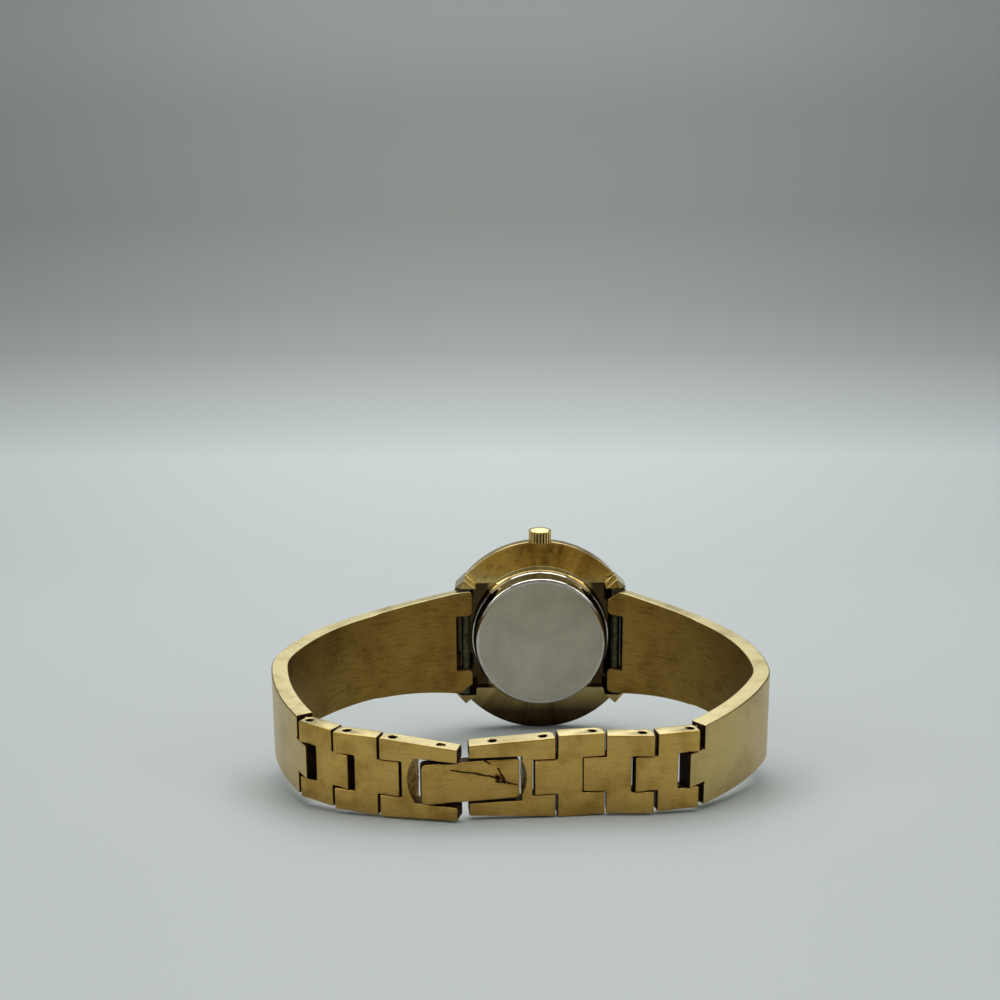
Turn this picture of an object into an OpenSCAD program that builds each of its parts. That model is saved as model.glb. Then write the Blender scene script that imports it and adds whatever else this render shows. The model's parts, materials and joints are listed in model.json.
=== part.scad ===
// Bangle wristwatch lying on its edge, crown up, its bracelet closed.
// The watch is drawn upright first: X to the right, Y from the wrist side to the dial, Z towards the
// crown, with the outer face of the case back at Y = 0. Then it is leaned forward until it rests.
// Plan shapes are drawn in the plane of the bracelet: first value to the right, second value away
// from the case back, so that plan angles turn counter-clockwise.

/* [Case] */
// Diameter of the case rim
case_d = 28.6; // [27.8:0.1:30]
// Depth from the outer face of the case back to the rear edge of the rim
drum_h = 3.2; // [3.1:0.05:3.4]
// Width of the rim band
rim_h = 1.9; // [1.8:0.05:2.3]
// Height of the sloping bezel in front of the rim
bezel_h = 1.45; // [1.3:0.05:1.8]
// Diameter of the bore that takes the dial
dial_bore_d = 21.2; // [20.6:0.1:21.4]
// Diameter of the bore that takes the movement
movement_bore_d = 17.5; // [17.2:0.1:17.8]
// Bevel on the edges of the rim
rim_bevel = 0.12; // [0.05:0.01:0.2]

/* [Case back] */
// Diameter of the flat of the case back
back_d = 19.0; // [18.9:0.05:19.3]
// Diameter of the case back at its foot
back_foot_d = 19.9; // [19.7:0.05:20.1]
// Thickness of the case back sheet
back_t = 0.5; // [0.4:0.05:0.55]
// Outer diameter of the neck that the case back snaps on
neck_d = 18.4; // [18.3:0.05:18.5]

/* [Crown and stem] */
// Diameter of the crown
crown_d = 3.3; // [2.8:0.1:3.6]
// Height of the crown
crown_h = 2.1; // [1.8:0.1:2.6]
// Number of flutes round the crown
crown_flutes = 22; // [16:1:30]
// Travel of the crown from the running to the setting position
crown_pull = 0.7; // [0.4:0.1:0.8]
// Diameter of the stem
stem_d = 0.54; // [0.5:0.02:0.58]
// Outer diameter of the crown tube
tube_d = 1.4; // [1.3:0.05:1.5]

/* [Lugs and spring bars] */
// Width of the arm recess between two lug horns
lug_gap = 16.0; // [15.8:0.1:16.4]
// Distance of each spring bar from the middle of the case
bar_x = 10.95; // [10.9:0.05:11.1]
// Depth of the spring bar below the face of the case back
bar_depth = 0.85; // [0.8:0.05:0.95]
// Diameter of the spring bar
bar_d = 1.3; // [1.2:0.05:1.4]
// Diameter of the spring bar's tips
bar_tip_d = 0.7; // [0.6:0.05:0.8]
// Reach of each tip into its horn
bar_tip_reach = 0.5; // [0.3:0.05:0.55]
// Distance from the spring bar to the inner end of a lug horn
horn_start = 1.6; // [1.4:0.1:1.8]
// Length of a lug horn along the recess wall
horn_length = 3.05; // [2.9:0.05:3.2]
// Length of a lug horn's rear face along the recess wall
horn_face_l = 2.25; // [2.1:0.05:2.4]
// Height of a lug horn's ridge above the recess wall
horn_height = 1.35; // [1.2:0.05:1.5]

/* [Arms] */
// Thickness of the arms
arm_t = 2.05; // [1.9:0.05:2.2]
// Width of an arm at the case
arm_root_w = 15.6; // [15:0.1:15.7]
// Width of an arm where the hollow taper of its root ends
arm_mid_w = 12.2; // [11.8:0.1:12.6]
// Distance from the spring bar to the end of the hollow taper
arm_mid_x = 13; // [12:0.5:14]
// Radius of the hollow taper, seen from the side
arm_hollow_r = 120; // [90:5:200]
// Width of an arm at its front end
arm_end_w = 9.3; // [9:0.1:9.6]
// Heading of an arm where it leaves the spring bar
arm_heading = 19.5; // [17:0.1:22]
// Radius of the long rear curve of an arm
arm_r1 = 28.5; // [26:0.5:30]
// Sweep of the long rear curve
arm_a1 = 64; // [62:0.5:66]
// Radius of the corner curve of an arm
arm_r2 = 10; // [9:0.5:12]
// Sweep of the corner curve
arm_a2 = 22; // [20:0.5:24]
// Radius of the front curve of an arm
arm_r3 = 41.5; // [38:0.5:44]
// Sweep of the front curve
arm_a3 = 21.5; // [20:0.5:23]
// Swing of the left arm as the watch lies
arm_swing_left = -6.8; // [-9:0.1:-5]
// Reach of the arm's root past the spring bar
root_reach = 0.9; // [0.8:0.02:0.94]
// Depth of the notch in the arm's root, past the spring bar
root_notch = 1.45; // [1.2:0.05:1.6]
// Width of the notch in the arm's root
root_notch_w = 8.1; // [7.6:0.1:8.6]
// Length of the cut corner that lets a tool reach the spring bar
root_corner = 1.5; // [1:0.1:1.8]

/* [Links] */
// Distance from pin to pin
pitch = 5.5; // [5.3:0.05:5.7]
// Thickness of the links
link_t = 1.9; // [1.8:0.05:2]
// Width of a link
link_w = 9.1; // [9:0.1:9.5]
// Width of the one broader link
wide_link_w = 9.5; // [9.2:0.1:9.8]
// Width of the middle tongue
tongue_w = 4.0; // [3.8:0.1:4.2]
// Reach of the prongs past their pin
prong_reach = 1.3; // [1.2:0.05:1.35]
// Depth of the notch past the pin
notch_reach = 1.2; // [1.18:0.02:1.25]
// Reach of the prongs that hold an arm, past their pin
end_prong_reach = 0.85; // [0.8:0.05:1]
// Depth past the pin of the notch that takes an arm
end_notch_reach = 1.6; // [1.5:0.05:1.7]
// Gap between a prong's end and the shoulder it meets
shoulder_gap = 0.25; // [0.22:0.01:0.3]
// Reach of a long tongue past its pin
tongue_reach = 1.0; // [0.85:0.05:1]
// Reach of a short tongue past its pin
short_tongue_reach = 0.7; // [0.65:0.05:0.8]
// Bevel on the wrist side of the prongs and tongues
relief = 0.5; // [0.45:0.01:0.6]
// Diameter of the link pins
pin_d = 0.84; // [0.7:0.02:0.9]
// Depth of a pin's end below the edge of its link
pin_recess = 0.5; // [0.3:0.05:0.8]

/* [Clasp] */
// Width of both clasp halves at the gap
clasp_end_w = 8.1; // [8:0.05:8.3]
// Width of the window that takes the lever
window_w = 5.2; // [5:0.05:5.3]
// Distance from the pin of a clasp half to its window
window_start = 1.85; // [1.75:0.05:1.95]
// Radius of the rounded end of the window
window_end_r = 4.2; // [3.8:0.1:5]
// Gap on the wrist side between the lever's free end and the window's end
catch_gap = 0.6; // [0.55:0.05:0.8]
// Gap on the wrist side between the lever's hinged end and the window's end
tail_gap = 0.3; // [0.2:0.05:0.4]
// Length of the left clasp half past the catch studs
catch_reach = 2.05; // [1.9:0.05:2.1]
// Length of the right clasp half past the lever pin
pivot_reach = 2.65; // [2.5:0.05:2.7]
// Distance from the lever pin to the catch studs
latch_length = 5.6; // [5.55:0.05:5.8]
// Width of the lever
lever_w = 4.6; // [4.5:0.05:4.7]
// Thickness of the lever
lever_t = 1.45; // [1.35:0.05:1.6]
// Reach of the lever past the catch studs
lever_tip = 2.3; // [2:0.05:2.4]
// Reach of the lever past its pin
lever_tail = 2.85; // [2.6:0.05:2.9]
// Radius of the lever's corners
lever_corner = 0.5; // [0.3:0.05:0.8]
// Diameter of the catch studs
stud_d = 0.84; // [0.7:0.02:0.9]
// Depth that a stud's tip reaches into its dimple
stud_bite = 0.03; // [0.02:0.005:0.04]

/* [Rest pose of the band] */
// Bend between the first and the second left link
bend_left_2 = 15; // [13:0.5:16]
// Bend between the second left link and the left clasp half
bend_left_3 = 3.5; // [2:0.5:6]
// Bend between the left clasp half and the latch line
bend_catch = 25.5; // [24:0.5:27]
// Bend between the latch line and the right clasp half
bend_pivot = -4.5; // [-5:0.5:-3]
// Bend between the right clasp half and the first right link
bend_right_1 = 2.5; // [1:0.5:4]
// Bend between the first and the second right link
bend_right_2 = -9; // [-10:0.5:-7]
// Bend between the second and the third right link
bend_right_3 = 13.5; // [12:0.5:15]

/* [Dial and hands] */
// Diameter of the dial
dial_d = 20.8; // [20.4:0.1:21]
// Thickness of the dial
dial_t = 0.4; // [0.3:0.05:0.45]
// Diameter of the crystal
crystal_d = 20.7; // [20.3:0.1:20.9]
// Thickness of the crystal
crystal_t = 1.0; // [0.9:0.05:1.2]
// Length of the minute hand
minute_hand_l = 8.2; // [7:0.1:8.6]
// Length of the hour hand
hour_hand_l = 5.6; // [4.5:0.1:6.2]
// Thickness of the hands
hand_t = 0.12; // [0.1:0.01:0.15]
// Length of an hour marker
marker_l = 1.5; // [1:0.1:2]

/* [Movement] */
// Diameter of the main plate
plate_d = 17.4; // [17:0.1:17.45]
// Diameter of the battery
battery_d = 6.8; // [6.4:0.1:6.8]
// Height of the battery
battery_h = 1.65; // [1.5:0.05:1.65]
// Module of the wheels in the train
train_module = 0.08; // [0.078:0.001:0.082]
// Module of the wheels under the dial
motion_module = 0.1; // [0.098:0.001:0.102]
// Thickness of a wheel
wheel_t = 0.18; // [0.14:0.01:0.2]
// Diameter of the coil
coil_d = 1.7; // [1.5:0.05:1.8]

/* [Hidden] */
$fn = 96;

// Fits
run_gap = 0.04;
press_gap = 0.01;
seat_gap = 0.02;
side_gap = 0.06;
far = 60;

// Case, as radii and as depths from the outer face of the case back
case_r = case_d / 2;
rim_front = drum_h + rim_h;
front_y = rim_front + bezel_h;
plate_front = rim_front - 0.65;
neck_r = neck_d / 2;
back_r = back_d / 2;
foot_r = back_foot_d / 2;
foot_y = drum_h - 0.55;
cove_r = foot_r + 0.75;
recess_r = foot_r + 0.2;
recess_floor = rim_front - 1.1;
movement_r = movement_bore_d / 2;
dial_bore_r = dial_bore_d / 2;
bezel_r = case_r - 0.35;
bezel_mouth_r = crystal_d / 2 + 0.35;
bezel_ledge_r = crystal_d / 2 - 0.35;
crystal_r = crystal_d / 2;
crystal_y = front_y - 0.6;
crystal_bevel = 0.15;
crystal_front = crystal_y + crystal_t;

// Crown, as distances from the case axis
crown_y = plate_front - 0.42;
crown_seat = case_r - 0.25;
crown_base = crown_seat + 0.05;
crown_top = crown_base + crown_h;
crown_cavity = crown_base + crown_h / 2;
tube_base = case_r - 1.7;
tube_top = crown_cavity - 0.1;
stem_r = stem_d / 2;
stem_end = 4.2;

// Lugs and spring bars
wall_w = lug_gap / 2;
horn_u = bar_x - horn_start;
horn_face = 0.1;
bar_half = wall_w - 0.1;

// Plan geometry: turning, stepping and the path of an arm
function polar(a, r) = [r * cos(a), r * sin(a)];
function turn(p, a) = [p[0] * cos(a) - p[1] * sin(a), p[0] * sin(a) + p[1] * cos(a)];
function heading(p) = atan2(p[1], p[0]);
function arc_end(p, a, r, sweep) = p + r * ([-sin(a), cos(a)] + [sin(a + sweep), -cos(a + sweep)]);
shoulder = prong_reach + shoulder_gap;
root_straight = 0.9;
end_straight = shoulder + 0.3;
sector_lap = 1;
arm_p0 = polar(arm_heading, root_straight);
arm_h1 = arm_heading + arm_a1;
arm_h2 = arm_h1 + arm_a2;
arm_h3 = arm_h2 + arm_a3;
arm_p1 = arc_end(arm_p0, arm_heading, arm_r1, arm_a1);
arm_p2 = arc_end(arm_p1, arm_h1, arm_r2, arm_a2);
arm_p3 = arc_end(arm_p2, arm_h2, arm_r3, arm_a3);
arm_pin = arm_p3 + polar(arm_h3, end_straight);

// The band keeps its rest bends, and the right arm swings until the loop closes.
bends = [
    0, bend_left_2, bend_left_3, bend_catch, bend_pivot, bend_right_1, bend_right_2, bend_right_3
];
lengths = [pitch, pitch, pitch, latch_length, pitch, pitch, pitch, pitch];
function bend_sum(n) = n < 0 ? 0 : bends[n] + bend_sum(n - 1);
function band_point(n) = n == 0 ? [0, 0] : band_point(n - 1) + polar(-bend_sum(n - 1), lengths[n - 1]);
bar_left = [-bar_x, -bar_depth];
bar_right = [bar_x, -bar_depth];
pin_l = turn(arm_pin, arm_swing_left);
left_end = bar_left + [-pin_l[0], pin_l[1]];
chord = norm(band_point(8));
arm_length = norm(arm_pin);
closing = left_end - bar_right;
closing_angle = acos(
    (arm_length * arm_length + closing * closing - chord * chord)
        / (2 * arm_length * norm(closing))
);
right_end = bar_right + polar(heading(closing) - closing_angle, arm_length);
arm_swing_right = heading(right_end - bar_right) - heading(arm_pin);
band_heading = heading(right_end - left_end) - heading(band_point(8));
function hinge(n) = left_end + turn(band_point(n), band_heading);
function band_angle(n) = band_heading - bend_sum(n);

// The watch leans forward until the rim and the lowest corner of the band touch the ground.
function outer_corner(n, along, w) =
    concat(hinge(n) + turn([along, link_t / 2], band_angle(n)), -w / 2);
clasp_left_end = pitch + catch_reach;
clasp_right_end = pitch + pivot_reach;
front_corners = [
    for (x = [-end_prong_reach, pitch - shoulder]) outer_corner(0, x, link_w),
    for (x = [-prong_reach, pitch - shoulder]) outer_corner(1, x, link_w),
    outer_corner(2, -prong_reach, link_w),
    outer_corner(2, clasp_left_end, clasp_end_w),
    outer_corner(4, pitch - clasp_right_end, clasp_end_w),
    outer_corner(4, pitch + prong_reach, link_w),
    for (x = [shoulder, pitch + prong_reach]) outer_corner(5, x, wide_link_w),
    for (x = [shoulder, pitch + prong_reach]) outer_corner(6, x, link_w),
    for (x = [shoulder, pitch + end_prong_reach]) outer_corner(7, x, link_w)
];
rim_edge = drum_h + rim_bevel;
lean = min([for (c = front_corners) atan((case_r + c[2]) / (c[1] + rim_edge))]);
ground_z = case_r * cos(lean) - rim_edge * sin(lean);

// Outline of the whole watch, whose middle stands over the origin
arm_steps = [for (i = [0 : 64]) i / 64];
function arm_side(p, a, r, sweep, swing) = max([
    for (s = arm_steps)
        turn(arc_end(p, a, r, sweep * s) + polar(a + sweep * s - 90, arm_t / 2), swing)[0]
]);
function arm_span(swing) = bar_x + max(
    arm_side(arm_p0, arm_heading, arm_r1, arm_a1, swing),
    arm_side(arm_p1, arm_h1, arm_r2, arm_a2, swing)
);
middle_x = (arm_span(arm_swing_right) - arm_span(arm_swing_left)) / 2;
rear_y = max(
    crystal_front * cos(lean) + (crystal_r - crystal_bevel) * sin(lean),
    (crystal_front - crystal_bevel) * cos(lean) + crystal_r * sin(lean),
    front_y * cos(lean) + (bezel_mouth_r + 0.25) * sin(lean)
);
front_reach = min([for (c = front_corners) -c[1] * cos(lean) + c[2] * sin(lean)]);
middle_y = (rear_y + front_reach) / 2;

// Movement, as depths from the outer face of the case back
plate_rear = plate_front - 1.25;
plate_r = plate_d / 2;
motion_floor = plate_front - 0.65;
motion_r = 5;
bridge_y = plate_rear - 1.8;
bridge_t = 0.4;
arbor_r = 0.16;
pivot_r = arbor_r + run_gap;
centre_y = plate_rear - 0.08 - wheel_t;
third_y = centre_y - 0.28 - wheel_t;
intermediate_y = third_y - 0.24 - wheel_t;
stator_y = plate_rear - 0.8;
stator_t = 0.4;
cannon_y = motion_floor + 0.05;
minute_pinion_y = cannon_y + 0.25;
dial_front = plate_front + dial_t;
hour_hand_y = dial_front + 0.3;
minute_hand_y = hour_hand_y + 0.3;
hour_pipe_r = 0.62;
cannon_pipe_r = 0.35;
battery_r = battery_d / 2;
battery_y = centre_y - 0.1 - battery_h;
battery_pos = [-4.55, -1.2];
strap_t = 0.17;
strap_reach = battery_r + 0.5;
screw_r = 0.22;
circuit_t = 0.6;
coil_w = 5.3;
coil_start = -2.0;
coil_end = 3.4;
core_w = 0.5;

// Wheels and where they turn, to the right and towards the crown
centre_teeth = 64;
third_teeth = 60;
third_pinion = 8;
intermediate_teeth = 36;
intermediate_pinion = 8;
rotor_pinion = 12;
cannon_teeth = 12;
minute_teeth = 36;
minute_pinion = 12;
hour_teeth = 48;
third_dir = -20;
intermediate_dir = 40;
rotor_dir = 100;
minute_dir = 210;
function mesh(m, a, b) = m * (a + b) / 2;
third_pos = polar(third_dir, mesh(train_module, centre_teeth, third_pinion));
intermediate_pos = third_pos + polar(intermediate_dir, mesh(train_module, third_teeth, intermediate_pinion));
rotor_pos = intermediate_pos + polar(rotor_dir, mesh(train_module, intermediate_teeth, rotor_pinion));
minute_pos = polar(minute_dir, mesh(motion_module, cannon_teeth, minute_teeth));
hour_module = motion_module * (cannon_teeth + minute_teeth) / (minute_pinion + hour_teeth);
pillars = [[0.3, -3.6], [7.0, -1.6], [6.95, 2.6]];
pillar_r = 0.5;
dial_feet = [polar(135, 7.4), polar(-45, 7.4)];
foot_pin_r = 0.3;
strap_feet = [battery_pos + [0, strap_reach], battery_pos - [0, strap_reach]];
strap_foot_r = 0.3;

gold = [0.80, 0.66, 0.38];
gold_shade = [0.66, 0.53, 0.29];
steel = [0.72, 0.71, 0.69];
brass = [0.78, 0.63, 0.33];

// Stand the upright watch on the ground
module lay() {
    translate([-middle_x, -middle_y, ground_z]) rotate([lean, 0, 0]) children();
}

// Part turned about the case axis: profile points are radius and depth
module turned(profile) {
    rotate([-90, 0, 0]) rotate_extrude() polygon(profile);
}

// Prism across the band from a plan shape, centred on the middle plane
module plan(width) {
    rotate([180, 0, 0]) linear_extrude(height = width, center = true) children();
}

// Prism through the band's thickness from a side shape: along, then towards the crown
module side(depth) {
    rotate([90, 0, 0]) linear_extrude(height = depth, center = true) children();
}

// Flat layer of the watch, drawn to the right and towards the crown
module layer(start, thickness) {
    translate([0, start + thickness, 0]) rotate([90, 0, 0]) linear_extrude(height = thickness) children();
}

// Round pin or hole along the case axis
module peg(pos, start, length, r) {
    layer(start, length) translate(pos) circle(r);
}

// Round body along the crown's axis
module along_stem(start, end, r) {
    translate([0, crown_y, start]) cylinder(h = end - start, r = r);
}

module mid_case() {
    color(gold) difference() {
        union() {
            difference() {
                turned([
                    [movement_r, 0.78], [neck_r, 0.78], [neck_r, foot_y + seat_gap],
                    [foot_r + 0.1, foot_y + seat_gap], [foot_r + 0.16, foot_y + 0.14],
                    [foot_r + 0.36, foot_y + 0.32], [cove_r, drum_h],
                    [case_r - rim_bevel, drum_h], [case_r, rim_edge],
                    [case_r, rim_front - rim_bevel], [case_r - rim_bevel, rim_front],
                    [dial_bore_r, rim_front], [dial_bore_r, plate_front], [movement_r, plate_front]
                ]);
                for (s = [-1, 1]) arm_recess(s);
            }
            for (a = [0, 180]) rotate([0, a, 0]) for (s = [0, 1]) mirror([0, 0, s]) horn();
        }
        for (a = [0, 180]) rotate([0, a, 0])
            translate([bar_x, bar_depth, 0])
                cylinder(h = 2 * (wall_w + bar_tip_reach + 0.05), r = bar_tip_d / 2 + press_gap, center = true);
        along_stem(movement_r - 0.5, case_r, stem_r + run_gap);
        along_stem(tube_base - seat_gap, case_r, tube_d / 2 + press_gap);
        along_stem(crown_seat, case_r + 1, crown_d / 2 + 0.1);
    }
}

// Room behind the rim for the end of an arm
module arm_recess(s) {
    difference() {
        translate([s > 0 ? 0 : -far, -1, -wall_w]) cube([far, recess_floor + 1, lug_gap]);
        translate([0, -2, 0]) rotate([-90, 0, 0]) cylinder(h = far, r = recess_r);
    }
}

// One lug horn: a three-sided post whose outer flank is bevelled at the rear
module horn() {
    face_end = horn_u + horn_face_l;
    difference() {
        layer(horn_face, rim_front - 0.5 - horn_face)
            polygon([[horn_u, wall_w], [horn_u + horn_length, wall_w], [bar_x, wall_w + horn_height]]);
        translate([face_end, horn_face, wall_w])
            rotate([0, -atan2(face_end - bar_x, horn_height), 0]) translate([0, 0, -5])
                rotate([0, 0, -45]) cube(10);
    }
}

module bezel() {
    color(gold) turned([
        [bezel_ledge_r, dial_front + seat_gap], [dial_bore_r - 0.05, dial_front + seat_gap],
        [dial_bore_r - 0.05, rim_front], [bezel_r, rim_front], [bezel_r, rim_front + 0.15],
        [bezel_mouth_r + 0.25, front_y], [bezel_mouth_r, front_y],
        [bezel_mouth_r, crystal_y], [bezel_ledge_r, crystal_y]
    ]);
}

module crystal() {
    color([0.85, 0.92, 0.95, 0.5]) turned([
        [0, crystal_y], [crystal_r, crystal_y], [crystal_r, crystal_front - crystal_bevel],
        [crystal_r - crystal_bevel, crystal_front], [0, crystal_front]
    ]);
}

module crystal_gasket() {
    color([0.9, 0.9, 0.88]) turned([
        [crystal_r + seat_gap, crystal_y + seat_gap], [bezel_mouth_r - seat_gap, crystal_y + seat_gap],
        [bezel_mouth_r - seat_gap, front_y - 0.05], [crystal_r + seat_gap, front_y - 0.05]
    ]);
}

module case_back() {
    color(steel) turned([
        [0, 0], [back_r - 0.12, 0], [back_r, 0.12], [foot_r - 0.16, foot_y - 0.4],
        [foot_r, foot_y - 0.25], [foot_r, foot_y], [neck_r + seat_gap, foot_y],
        [neck_r + seat_gap, back_t], [0, back_t]
    ]);
}

module back_gasket() {
    color([0.15, 0.15, 0.15]) turned([
        [movement_r + 0.1, back_t + 0.03], [neck_r - 0.05, back_t + 0.03],
        [neck_r - 0.05, 0.75], [movement_r + 0.1, 0.75]
    ]);
}

module crown_tube() {
    color(steel) difference() {
        along_stem(tube_base, tube_top, tube_d / 2);
        along_stem(tube_base - 1, tube_top + 1, stem_r + run_gap);
    }
}

module crown() {
    color(gold) difference() {
        intersection() {
            along_stem(crown_base, crown_top, crown_d / 2);
            translate([0, crown_y, crown_top - crown_d * 1.2]) sphere(r = crown_d * 1.2);
        }
        for (i = [0 : crown_flutes - 1])
            translate([0, crown_y, crown_base - 1]) rotate([0, 0, i * 360 / crown_flutes])
                translate([crown_d / 2 + 0.05, 0, 0])
                    cylinder(h = 1 + crown_h * 0.72, r = crown_d * 0.048);
        along_stem(crown_base - 1, crown_cavity, tube_d / 2 + 0.25);
        along_stem(crown_base, crown_top - 0.5, stem_r + press_gap);
    }
}

module crown_gasket() {
    color([0.15, 0.15, 0.15]) difference() {
        along_stem(crown_base + 0.1, crown_base + 0.4, tube_d / 2 + 0.25 - press_gap);
        along_stem(crown_base, crown_base + 1, tube_d / 2 + run_gap);
    }
}

module stem() {
    color(steel) along_stem(stem_end, crown_top - 0.52, stem_r);
}

module spring_bar(s) {
    color(gold_shade) translate([s * bar_x, bar_depth, 0]) {
        cylinder(h = 2 * bar_half, r = bar_d / 2, center = true);
        cylinder(h = 2 * (wall_w + bar_tip_reach), r = bar_tip_d / 2, center = true);
    }
}

module dial() {
    color([0.93, 0.91, 0.84]) {
        layer(plate_front, dial_t) difference() {
            circle(dial_d / 2);
            circle(hour_pipe_r + 0.2);
        }
        for (p = dial_feet) peg(p, plate_front - 0.7, 0.75, foot_pin_r);
    }
}

module hour_markers() {
    color(gold) layer(dial_front, 0.15) for (i = [0 : 11]) rotate(30 * i)
        translate([dial_d / 2 - 1.4 - marker_l, -0.17]) square([marker_l, 0.34]);
}

// A hand lies in the clock's 10:10 position and tapers to its tip.
module hand(start, length, angle, hub_r, hole_r, w) {
    color(gold) layer(start, hand_t) rotate(angle) difference() {
        union() {
            circle(hub_r);
            polygon([[-1.6, -w / 2], [-1.6, w / 2], [length, w / 5], [length, -w / 5]]);
        }
        circle(hole_r);
    }
}

module hour_hand() {
    hand(hour_hand_y, hour_hand_l, 305, hour_pipe_r + 0.3, hour_pipe_r + press_gap, 0.7);
}

module minute_hand() {
    hand(minute_hand_y, minute_hand_l, 60, cannon_pipe_r + 0.3, cannon_pipe_r + press_gap, 0.55);
}

// Toothed outline: one tooth points along the phase angle
module gear(m, teeth, phase) {
    root = m * (teeth / 2 - 1.15);
    tip = m * (teeth / 2 + 0.8);
    step = 360 / teeth;
    polygon([
        for (i = [0 : teeth - 1])
            for (q = [[-0.3, root], [-0.13, tip], [0.13, tip], [0.3, root]])
                polar(phase + (i + q[0]) * step, q[1])
    ]);
}

// Phase that puts a gap where the neighbour's tooth comes from
function gap_phase(dir, teeth) = dir + 180 + 180 / teeth;

module centre_wheel() {
    color(brass) {
        layer(centre_y, wheel_t) gear(train_module, centre_teeth, third_dir);
        peg([0, 0], bridge_y + 0.02, minute_hand_y - 0.4 - bridge_y, arbor_r);
    }
}

module third_wheel() {
    color(brass) {
        layer(third_y, wheel_t) translate(third_pos) gear(train_module, third_teeth, intermediate_dir);
        layer(third_y, centre_y + wheel_t - third_y) translate(third_pos)
            gear(train_module, third_pinion, gap_phase(third_dir, third_pinion));
        arbor(third_pos);
    }
}

module intermediate_wheel() {
    color(brass) {
        layer(intermediate_y, wheel_t) translate(intermediate_pos)
            gear(train_module, intermediate_teeth, rotor_dir);
        layer(intermediate_y, third_y + wheel_t - intermediate_y) translate(intermediate_pos)
            gear(train_module, intermediate_pinion, gap_phase(intermediate_dir, intermediate_pinion));
        arbor(intermediate_pos);
    }
}

module rotor() {
    color([0.35, 0.35, 0.36]) {
        layer(intermediate_y, wheel_t) translate(rotor_pos)
            gear(train_module, rotor_pinion, gap_phase(rotor_dir, rotor_pinion));
        peg(rotor_pos, stator_y - 0.05, stator_t + 0.1, 0.6);
        arbor(rotor_pos);
    }
}

// Arbor between the bridge and the main plate
module arbor(pos) {
    peg(pos, bridge_y + 0.02, plate_rear + 0.28 - bridge_y, arbor_r);
}

module cannon_pinion() {
    color(brass) difference() {
        union() {
            layer(cannon_y, 0.22) gear(motion_module, cannon_teeth, minute_dir);
            peg([0, 0], cannon_y, minute_hand_y + hand_t + 0.05 - cannon_y, cannon_pipe_r);
        }
        peg([0, 0], cannon_y - 1, minute_hand_y - 0.36 - cannon_y + 1, arbor_r + press_gap);
    }
}

module minute_wheel() {
    color(brass) {
        layer(cannon_y, 0.2) translate(minute_pos)
            gear(motion_module, minute_teeth, gap_phase(minute_dir, minute_teeth));
        layer(cannon_y, plate_front - 0.06 - cannon_y) translate(minute_pos)
            gear(hour_module, minute_pinion, minute_dir + 180);
        peg(minute_pos, plate_rear + 0.35, plate_front - 0.06 - plate_rear - 0.35, arbor_r);
    }
}

module hour_wheel() {
    color(brass) difference() {
        union() {
            layer(minute_pinion_y, 0.2) gear(hour_module, hour_teeth, minute_dir + 180 / hour_teeth);
            peg([0, 0], minute_pinion_y, hour_hand_y + hand_t + 0.05 - minute_pinion_y, hour_pipe_r);
        }
        peg([0, 0], minute_pinion_y - 1, far, cannon_pipe_r + run_gap);
    }
}

module main_plate() {
    color([0.75, 0.72, 0.62]) difference() {
        union() {
            layer(plate_rear, plate_front - plate_rear) circle(plate_r);
            for (p = pillars) peg(p, bridge_y + bridge_t, plate_rear - bridge_y - bridge_t + 0.1, pillar_r);
            layer(centre_y - 0.1 + seat_gap, 0.5) difference() {
                translate(battery_pos) circle(battery_r - 0.2);
                circle(train_module * centre_teeth / 2 + 0.35);
            }
            for (p = stator_posts) peg(p, stator_y + stator_t, plate_rear - stator_y - stator_t + 0.1, 0.38);
        }
        peg([0, 0], motion_floor, far, motion_r);
        peg([0, 0], -1, far, pivot_r);
        for (p = [third_pos, intermediate_pos, rotor_pos]) peg(p, 0, plate_rear + 0.32, pivot_r);
        peg(minute_pos, plate_rear + 0.3, far, pivot_r);
        for (p = pillars) peg(p, 0, plate_rear + 0.4, screw_r + press_gap);
        for (p = dial_feet) peg(p, plate_front - 0.75, far, foot_pin_r + press_gap);
        for (p = strap_feet) peg(p, 0, plate_rear + 0.45, strap_foot_r + press_gap);
        layer(plate_rear - 0.5, 0.85) translate([coil_start - 0.1, coil_w - coil_d / 2 - 0.1])
            square([coil_end - coil_start + 0.2, coil_d + 0.2]);
        layer(crown_y - stem_r - 0.1, far) translate([-stem_r - 0.15, stem_end - 0.2]) square([2 * stem_r + 0.3, far]);
    }
}

module train_bridge() {
    color(steel) layer(bridge_y, bridge_t) difference() {
        intersection() {
            circle(plate_r - 0.4);
            polygon([
                [-0.75, -3.2], [-0.75, 0.9], [0.6, 1.4], [3.6, 3.9], [5.4, 4.0],
                [far, 3.2], [far, -2.4], [0.9, -4.3], [-0.2, -4.3]
            ]);
        }
        for (p = [[0, 0], third_pos, intermediate_pos, rotor_pos]) translate(p) circle(pivot_r);
        for (p = pillars) translate(p) circle(screw_r + run_gap);
    }
}

module bridge_screws() {
    color(steel) for (p = pillars) difference() {
        union() {
            peg(p, bridge_y - 0.25, 0.25, 0.45);
            peg(p, bridge_y - 0.1, plate_rear + 0.35 - bridge_y + 0.1, screw_r);
        }
        layer(bridge_y - 0.3, 0.17) translate(p) square([far, 0.12], center = true);
    }
}

module battery_cell() {
    color(steel) {
        peg(battery_pos, battery_y + 0.2, battery_h - 0.2, battery_r);
        peg(battery_pos, battery_y, battery_h, battery_r - 0.35);
    }
}

module battery_strap() {
    color(brass) {
        layer(battery_y - strap_t - seat_gap, strap_t) translate(battery_pos)
            square([1.2, 2 * (strap_reach + 0.5)], center = true);
        for (p = strap_feet)
            peg(p, battery_y - strap_t, plate_rear + 0.4 - battery_y + strap_t, strap_foot_r);
    }
}

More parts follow.
